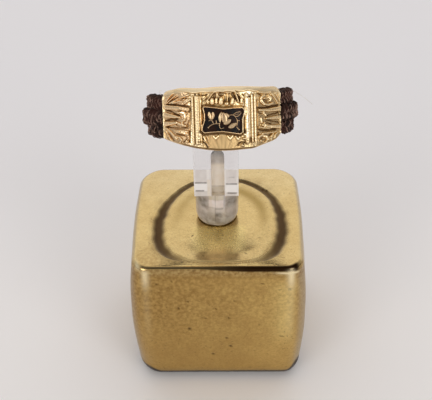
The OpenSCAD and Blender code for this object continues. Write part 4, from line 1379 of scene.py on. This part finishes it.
# Enamel. Black enamel, fired into the well of the gold front and polished almost flush with its
# rim; it has shrunk back a little from the rim and shows brown where it is thin.
ENAMEL_AROUND = 200
ENAMEL_SINK = 0.05
ENAMEL_MENISCUS = 0.07
ENAMEL_FOOT = 0.2
ENAMEL_DIMPLES = 0.006
# rings of its top and its foot, by their share of the way out from its middle
ENAMEL_TOP_RINGS = [*np.linspace(0.02, 0.9, 40), *np.linspace(0.91, 0.985, 10)]
ENAMEL_FOOT_RINGS = (0.985, 0.6, 0.05)
MENISCUS_FROM = (0.86, 1.0)
ENAMEL_GLOSS = 0.14
ENAMEL_BLACK = (0.006, 0.006, 0.0065, 1)
ENAMEL_BROWN = (0.022, 0.007, 0.003, 1)


def on_cylinder(arc, level, radius):
    """Places in the ring's own frame from arc length, height and radius, in millimetres."""
    turn_by = np.asarray(arc) / FRONT_R
    return np.stack([radius * np.sin(turn_by), -radius * np.cos(turn_by), level + 0 * turn_by], axis=-1)


loop = np.array(rim_line)
lengths = np.concatenate([[0], np.cumsum(np.hypot(*np.diff(loop, axis=0).T))])
stops = np.linspace(0, lengths[-1], ENAMEL_AROUND, endpoint=False)
loop = np.stack([np.interp(stops, lengths, loop[:, 0]), np.interp(stops, lengths, loop[:, 1])], axis=1)
loop = soften_round(loop, 3)
hub = loop.mean(axis=0)
enamel_rings = []
for share in ENAMEL_TOP_RINGS:
    spots = hub + (loop - hub) * share
    surface_r = FRONT_R - ENAMEL_SINK + ENAMEL_MENISCUS * smooth_step(share, *MENISCUS_FROM)
    dimples = np.sin(spots[:, 0] * 7 + 3 * np.sin(spots[:, 1] * 4)) * np.sin(spots[:, 1] * 9 + 1)
    enamel_rings.append(on_cylinder(spots[:, 0], spots[:, 1], surface_r + ENAMEL_DIMPLES * dimples))
for share in ENAMEL_FOOT_RINGS:
    spots = hub + (loop - hub) * share
    enamel_rings.append(on_cylinder(spots[:, 0], spots[:, 1], FRONT_R - ENAMEL_FOOT + 0 * spots[:, 0]))
black_enamel = skin("black_enamel", in_ring_place(np.array(enamel_rings)))
enamel, tree, shader, place = finish_for("black enamel")
marks = marks_on(tree, place, 0.09, 0.9, 0.16)
tree.links.new(mix_colours(tree, marks["Blotch"], ENAMEL_BLACK, ENAMEL_BROWN), shader.inputs["Base Color"])
tree.links.new(raised_by(tree, 0.12, marks["Grain"], 0.16), shader.inputs["Roughness"])
shader.inputs["Specular IOR Level"].default_value = ENAMEL_GLOSS
engrained(tree, shader, marks["Grain"], 0.4, 0.008)
black_enamel.data.materials.append(enamel)
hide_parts("enamel_panel")
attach(black_enamel, "root")


# Flower spray. Thin gold cells left standing in the enamel and engraved as a rose with its bud,
# leaves and thorny stems. Each is a little domed, with a vein cut along the wider ones, and is
# painted lighter or darker as painted light and shade.
SPRAY_FOOT = 0.12
SPRAY_STEPS = 18
SPRAY_WIDTH_STEPS = 13
SPRAY_STAND = 0.01
VEIN_HALF = 0.16
SPRAY_LIT_GOLD = (0.78, 0.60, 0.37, 1)
SPRAY_SHADED_TAN = (0.46, 0.30, 0.17, 1)
SPRAY_DULL = (0.40, 0.27, 0.16, 1)
# rise, depth of the vein, brightness of its painted light and shade, half widths, places in the photograph
SPRAY = [
    (0.17, 0.0, 1.0, (0.08, 0.24, 0.15), [(211, 119.8), (209.5, 115.6), (209.2, 111.6)]),
    (0.17, 0.0, 0.6, (0.08, 0.24, 0.15), [(211.6, 119.8), (213.1, 115.8), (212.4, 111.8)]),
    (0.08, 0.0, 0.3, (0.05, 0.06), [(208.4, 120.8), (211.2, 120.2)]),
    (0.10, 0.0, 0.35, (0.07, 0.06), [(211.2, 119.2), (213.8, 124)]),
    (0.10, 0.0, 0.6, (0.11, 0.13), [(208, 127.9), (208.8, 127.2)]),
    (0.09, 0.0, 0.35, (0.08, 0.06, 0.07), [(208.6, 127.3), (213.4, 124.2), (220.2, 123.8)]),
    (0.08, 0.0, 0.3, (0.04, 0.06), [(216.1, 120), (216.5, 123.8)]),
    (0.18, 0.0, 1.0, (0.07, 0.24, 0.07), [(220.4, 122.8), (219.9, 117), (222, 111.7)]),
    (0.22, 0.015, 0.45, (0.14, 0.50, 0.26), [(222.5, 112.2), (224.4, 117.6), (225, 123.4)]),
    (0.17, 0.0, 0.4, (0.10, 0.24, 0.10), [(224.8, 113.4), (227.2, 115.2), (228.8, 117.6)]),
    (0.19, 0.0, 0.6, (0.16, 0.34, 0.10), [(223.4, 123.8), (227.4, 122), (231.2, 119.4)]),
    (0.09, 0.0, 0.4, (0.06, 0.07, 0.05), [(220, 122.4), (219.5, 126.4), (221.4, 129)]),
    (0.09, 0.0, 0.4, (0.05, 0.06), [(221.2, 128.9), (224.2, 127.8)]),
    (0.10, 0.0, 0.35, (0.07, 0.07, 0.06), [(228, 115.9), (233.1, 115), (236.2, 118.4)]),
    (0.10, 0.0, 0.35, (0.06, 0.07, 0.06), [(236, 118), (237.4, 121.6), (236.6, 126.6)]),
    (0.10, 0.0, 0.4, (0.06, 0.07, 0.09), [(236.6, 126.2), (238, 128.6), (240, 130)]),
    (0.08, 0.0, 0.3, (0.05, 0.06), [(237, 120.7), (239.7, 120.7)]),
    (0.09, 0.0, 0.35, (0.05, 0.06, 0.04), [(233.3, 115), (236.4, 112.5), (241.5, 111.9)]),
    (0.09, 0.0, 0.35, (0.05, 0.07, 0.04), [(233.3, 115.2), (237.6, 116.2), (241.4, 112.1)]),
    (0.06, 0.0, 0.25, (0.03, 0.04), [(234.4, 115), (238.8, 113.8)]),
    (0.16, 0.04, 0.65, (0.06, 0.33, 0.05), [(228, 127.4), (232.4, 125.9), (237.3, 122.4)]),
]


def domed_cell(pixels, halves, rise, vein):
    """A low domed strip through places in the photograph, closed by a flat foot."""
    spots = np.array([on_front(*p) for p in pixels])
    knots = np.linspace(0, 1, len(spots))
    shares = np.linspace(0, 1, SPRAY_STEPS)
    if len(spots) == 3:
        bend = 2 * spots[1] - (spots[0] + spots[2]) / 2
        run = shares[:, None]
        line = (1 - run) ** 2 * spots[0] + 2 * run * (1 - run) * bend + run ** 2 * spots[2]
        width = np.interp(shares, knots, halves)
        width = width + (max(halves) - width) * 0.5 * np.sin(np.pi * shares) * (halves[1] == max(halves))
    else:
        line = spots[0] + (spots[1] - spots[0]) * shares[:, None]
        width = np.interp(shares, knots, halves)
    width = width * np.sqrt(np.clip(1 - (2 * shares - 1) ** 8, 0.02, 1))
    ahead = np.gradient(line, axis=0)
    ahead /= np.linalg.norm(ahead, axis=1, keepdims=True) + 1e-9
    aside = np.stack([-ahead[:, 1], ahead[:, 0]], axis=1)
    rings = []
    for step in range(SPRAY_STEPS):
        sideways = np.linspace(1, -1, SPRAY_WIDTH_STEPS)
        height = np.sqrt(np.clip(1 - sideways ** 2, 0, 1)) * rise * min(1, width[step] / 0.08)
        height -= vein * bell(sideways, 0, VEIN_HALF)
        place = line[step] + aside[step] * (sideways * width[step])[:, None]
        top = on_cylinder(place[:, 0], place[:, 1], FRONT_R - ENAMEL_SINK + SPRAY_STAND + height)
        foot = on_cylinder(place[::-1, 0], place[::-1, 1], FRONT_R - ENAMEL_SINK - SPRAY_FOOT + 0 * height)
        rings.append(np.concatenate([top, foot]))
    return in_ring_place(np.array(rings))


cells = [domed_cell(pixels, halves, rise, vein) for rise, vein, _, halves, pixels in SPRAY]
rose_spray = skin("rose_spray", *cells)
# two more points close the ends of each cell
cell_tones = [np.full(cell.shape[0] * cell.shape[1] + 2, row[2]) for cell, row in zip(cells, SPRAY)]
paint(rose_spray, "tone and painted light", np.concatenate(cell_tones))
engraved, tree, shader, place = finish_for("engraved gold")
marks = marks_on(tree, place, 0.08, 0.7, 0.1)
# each cell's brightness paints light and shade on it
colour = mix_colours(tree, painted(tree, "tone and painted light"), SPRAY_SHADED_TAN, SPRAY_LIT_GOLD)
colour = mix_colours(tree, share_of(tree, marks["Blotch"], 0.6), colour, SPRAY_DULL)
tree.links.new(colour, shader.inputs["Base Color"])
tree.links.new(raised_by(tree, 0.22, marks["Grain"], 0.12), shader.inputs["Roughness"])
shader.inputs["Metallic"].default_value = 1.0
rose_spray.data.materials.append(engraved)
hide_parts("flower_spray")
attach(rose_spray, "root")


# Hair hoop. Three plaits of dark brown human hair lie side by side round the finger, each of
# three tufts, with their ends glued into the gold front. The single hairs are fine tubes swept
# along their paths, over a core painted in the darkest tone as shade; two have worked loose.
HAIR_START = 49.5
HAIR_END = 312.3
HOOP_R = 9.7
PLAIT_PITCH = 2.3
PLAIT_SWING = 0.60
PLAIT_DEPTH = 0.26
PLAIT_WANDER = 0.07
TUFTS = 3
TUFT_HALF = 0.44
STRANDS_PER_TUFT = 7
STRAND_SPREAD = 0.2
STRAND_TWIST = 1.5
HAIRS_PER_STRAND = 5
HAIR_SPREAD = 0.17
HAIR_ROLL = 0.3
HAIR_AWAY = (0.66, 1.06)
HAIR_FLATNESS = 0.8
HAIR_STEP = 0.165
HAIR_HALF = 0.052
HAIR_WANDER = 0.035
HAIR_CLEAR = 0.05
CORE_HALF = 0.32
SEAM_ASIDE = 0.96
SEAM_DEPTH = 0.42
HAIR_DARK = (0.016, 0.008, 0.006, 1)
HAIR_LIGHT = (0.52, 0.33, 0.25, 1)
HAIR_RED = (0.085, 0.026, 0.017, 1)
HAIR_GLOSS = 0.09
# how the hairs' tones are spread, and how painted sheen and shade dim them along a tuft's turns and in the
# gaps at its sides
TONE_SKEW = 1.7
TONE_SPREAD = (-0.12, 0.2)
SHEEN_LEAST = 0.35
SHEEN_TURNS = (-0.6, 0.9)
GAP_SIDES = (0.5, 0.95)
GAP_DIMMING = 0.85
# how much narrower the hoop is at its back
BACK_NARROWING = 0.2
NARROWED_FROM = (0.72, 1.0)
# name, height and radius round the finger at the left and at the right, thickness, first phase
PLAITS = [
    ("upper_plait", (1.60, 1.86), (9.48, 9.66), 0.95, 0.4),
    ("middle_plait", (-0.30, -0.10), (10.08, 10.22), 1.08, 1.9),
    ("lower_plait", (-2.04, -2.06), (9.50, 9.72), 0.93, 3.3),
]
# loose hairs in the photograph, in the plane through the finger's axis that faces the camera
LOOSE_HAIRS = [
    [(284, 92), (290, 90.2), (296, 92), (305, 98), (312.5, 104.4)],
    [(162, 97), (160.4, 93.4), (159, 91.4), (160, 90.2), (162, 91)],
]
LOOSE_HALF = 0.016
LOOSE_PALE = (0.80, 0.74, 0.55, 1)
LOOSE_TAN = (0.55, 0.48, 0.36, 1)

sweep = bpy.data.node_groups.new("hairs swept along their paths", "GeometryNodeTree")
sweep.interface.new_socket("Paths", in_out="INPUT", socket_type="NodeSocketGeometry")
half_input = sweep.interface.new_socket("Hair radius", in_out="INPUT", socket_type="NodeSocketFloat")
half_input.default_value = HAIR_HALF * MM
sides_input = sweep.interface.new_socket("Sides", in_out="INPUT", socket_type="NodeSocketInt")
sides_input.default_value = 4
finish_input = sweep.interface.new_socket("Finish", in_out="INPUT", socket_type="NodeSocketMaterial")
sweep.interface.new_socket("Hairs", in_out="OUTPUT", socket_type="NodeSocketGeometry")
paths_in, hairs_out = sweep.nodes.new("NodeGroupInput"), sweep.nodes.new("NodeGroupOutput")
curves = wire(sweep, "GeometryNodeMeshToCurve", {"Mesh": paths_in.outputs["Paths"]})
section = wire(sweep, "GeometryNodeCurvePrimitiveCircle", {"Resolution": paths_in.outputs["Sides"],
                                                          "Radius": paths_in.outputs["Hair radius"]})
tubes = wire(sweep, "GeometryNodeCurveToMesh", {"Curve": curves.outputs["Curve"], "Fill Caps": True,
                                                "Profile Curve": section.outputs["Curve"]})
single = wire(sweep, "GeometryNodeRealizeInstances", {"Geometry": tubes.outputs["Mesh"]})
dressed = wire(sweep, "GeometryNodeSetMaterial", {"Geometry": single.outputs["Geometry"],
                                                  "Material": paths_in.outputs["Finish"]})
sweep.links.new(dressed.outputs["Geometry"], hairs_out.inputs["Hairs"])


def swept(name, paths, tones, radius, sides, finish):
    """A mesh object of tubes along paths in millimetres, with a tone for each point."""
    places = np.concatenate(paths)
    edges, start = [], 0
    for path in paths:
        edges += [(k, k + 1) for k in range(start, start + len(path) - 1)]
        start += len(path)
    data = bpy.data.meshes.new(name + " paths")
    data.from_pydata((places * MM).tolist(), edges, [])
    tone_layer = data.attributes.new("tone and painted light", "FLOAT", "POINT")
    tone_layer.data.foreach_set("value", np.concatenate(tones))
    maker = put_in_scene(name + " maker", data)
    modifier = maker.modifiers.new("sweep", "NODES")
    modifier.node_group = sweep
    modifier[half_input.identifier] = radius * MM
    modifier[sides_input.identifier] = sides
    modifier[finish_input.identifier] = finish
    shown = maker.evaluated_get(bpy.context.evaluated_depsgraph_get())
    baked = bpy.data.meshes.new_from_object(shown)
    baked.shade_smooth()
    bpy.data.objects.remove(maker)
    return put_in_scene(name, baked)


def round_finger(radius, up):
    """Places in the ring's own frame at a radius and a height for each step round the hoop."""
    return np.stack([radius * np.sin(hair_turn), -radius * np.cos(hair_turn), up], axis=1)


hair, tree, shader, place = finish_for("brown hair")
marks = marks_on(tree, place, 0.25, 1.8, 0.2)
colour = mix_colours(tree, painted(tree, "tone and painted light"), HAIR_DARK, HAIR_LIGHT)
colour = mix_colours(tree, share_of(tree, marks["Blotch"], 0.55), colour, HAIR_RED)
tree.links.new(colour, shader.inputs["Base Color"])
tree.links.new(raised_by(tree, 0.36, marks["Grain"], 0.15), shader.inputs["Roughness"])
shader.inputs["Specular IOR Level"].default_value = HAIR_GLOSS

chance = np.random.default_rng(7)
hair_turn = np.radians(np.arange(HAIR_START, HAIR_END, math.degrees(HAIR_STEP / HOOP_R)))
rightness = 0.5 + 0.5 * np.sin(hair_turn)
narrowed = 1 - BACK_NARROWING * smooth_step(np.sin(hair_turn / 2), *NARROWED_FROM)
for name, levels, radii, thickness, phase in PLAITS:
    level = levels[0] + (levels[1] - levels[0]) * rightness
    radius = radii[0] + (radii[1] - radii[0]) * rightness
    paths, tones, cores = [], [], []
    for tuft in range(TUFTS):
        sway = phase + tuft * 2 * np.pi / TUFTS + 2 * np.pi * hair_turn * HOOP_R / PLAIT_PITCH
        wander = PLAIT_WANDER * np.sin(hair_turn * 11 + tuft + phase)
        side = level + thickness * (PLAIT_SWING * np.sin(sway) + wander)
        out = thickness * PLAIT_DEPTH * np.sin(2 * sway)
        cores.append(round_finger(radius + out, narrowed * side))
        for strand in range(STRANDS_PER_TUFT):
            strand_place = (strand + chance.uniform(-STRAND_SPREAD, STRAND_SPREAD)) / STRANDS_PER_TUFT
            strand_spin = 2 * np.pi * strand_place + hair_turn * STRAND_TWIST
            strand_tone = chance.uniform(0, 1) ** TONE_SKEW
            for _ in range(HAIRS_PER_STRAND):
                spin = strand_spin + chance.normal(0, HAIR_SPREAD)
                spin = spin + HAIR_ROLL * np.sin(sway + chance.uniform(0, 6))
                away = thickness * TUFT_HALF * chance.uniform(*HAIR_AWAY)
                wander = HAIR_WANDER * np.sin(hair_turn * chance.uniform(6, 18) + chance.uniform(0, 6))
                up = narrowed * (side + (away + wander) * np.sin(spin))
                reach = radius + out + (away * HAIR_FLATNESS + wander) * np.cos(spin)
                paths.append(round_finger(np.maximum(reach, FINGER_R + HAIR_CLEAR), up))
                # painted sheen along the tufts' turns, and painted shade in the gaps at a tuft's sides
                sheen = smooth_step(np.sin(2 * sway + 0.8 * np.sin(hair_turn * 5)), *SHEEN_TURNS)
                sheen = SHEEN_LEAST + (1 - SHEEN_LEAST) * sheen
                sheen = sheen * (1 - GAP_DIMMING * smooth_step(np.abs(np.sin(spin)), *GAP_SIDES))
                tones.append(np.clip((strand_tone + chance.uniform(*TONE_SPREAD)) * sheen, 0, 1))
    # two rolls of hair under the seams at both sides of the middle plait
    for aside in (-SEAM_ASIDE, SEAM_ASIDE) if name == "middle_plait" else ():
        cores.append(round_finger(radius - SEAM_DEPTH, narrowed * (level + aside)))
    plait = swept(name, [in_ring_place(p) for p in paths], tones, HAIR_HALF, 3, hair)
    # the cores and the seam rolls take the darkest tone, as painted shade inside and between the plaits
    core_tones = [0 * hair_turn] * len(cores)
    core = swept(name + "_core", [in_ring_place(p) for p in cores], core_tones, CORE_HALF, 10, hair)
    for piece in (plait, core):
        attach(piece, "root")
    if name == "middle_plait":
        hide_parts("hair_band")

paths, tones = [], []
for pixels in LOOSE_HAIRS:
    lines = [sight_line(*p) for p in pixels]
    ring_away = (Vector(RING_PLACE) * MM - camera_place).dot(camera_forward)
    spots = [np.array(camera_place + line * (ring_away / line.dot(camera_forward))) / MM for line in lines]
    knots, finer = np.arange(len(spots)), np.linspace(0, len(spots) - 1, 8 * len(spots))
    path = np.stack([np.interp(finer, knots, part) for part in np.array(spots).T], axis=1)
    for _ in range(12):
        path[1:-1] = (path[:-2] + 2 * path[1:-1] + path[2:]) / 4
    paths.append(path)
    tones.append(np.full(len(path), 0.6))
pale_hair, tree, shader, place = finish_for("pale loose hair")
marks = marks_on(tree, place, 0.3, 2.0, 0.2)
tree.links.new(mix_colours(tree, marks["Blotch"], LOOSE_PALE, LOOSE_TAN), shader.inputs["Base Color"])
shader.inputs["Roughness"].default_value = 0.5
loose_hairs = swept("loose_hairs", paths, tones, LOOSE_HALF, 4, pale_hair)
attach(loose_hairs, "root")
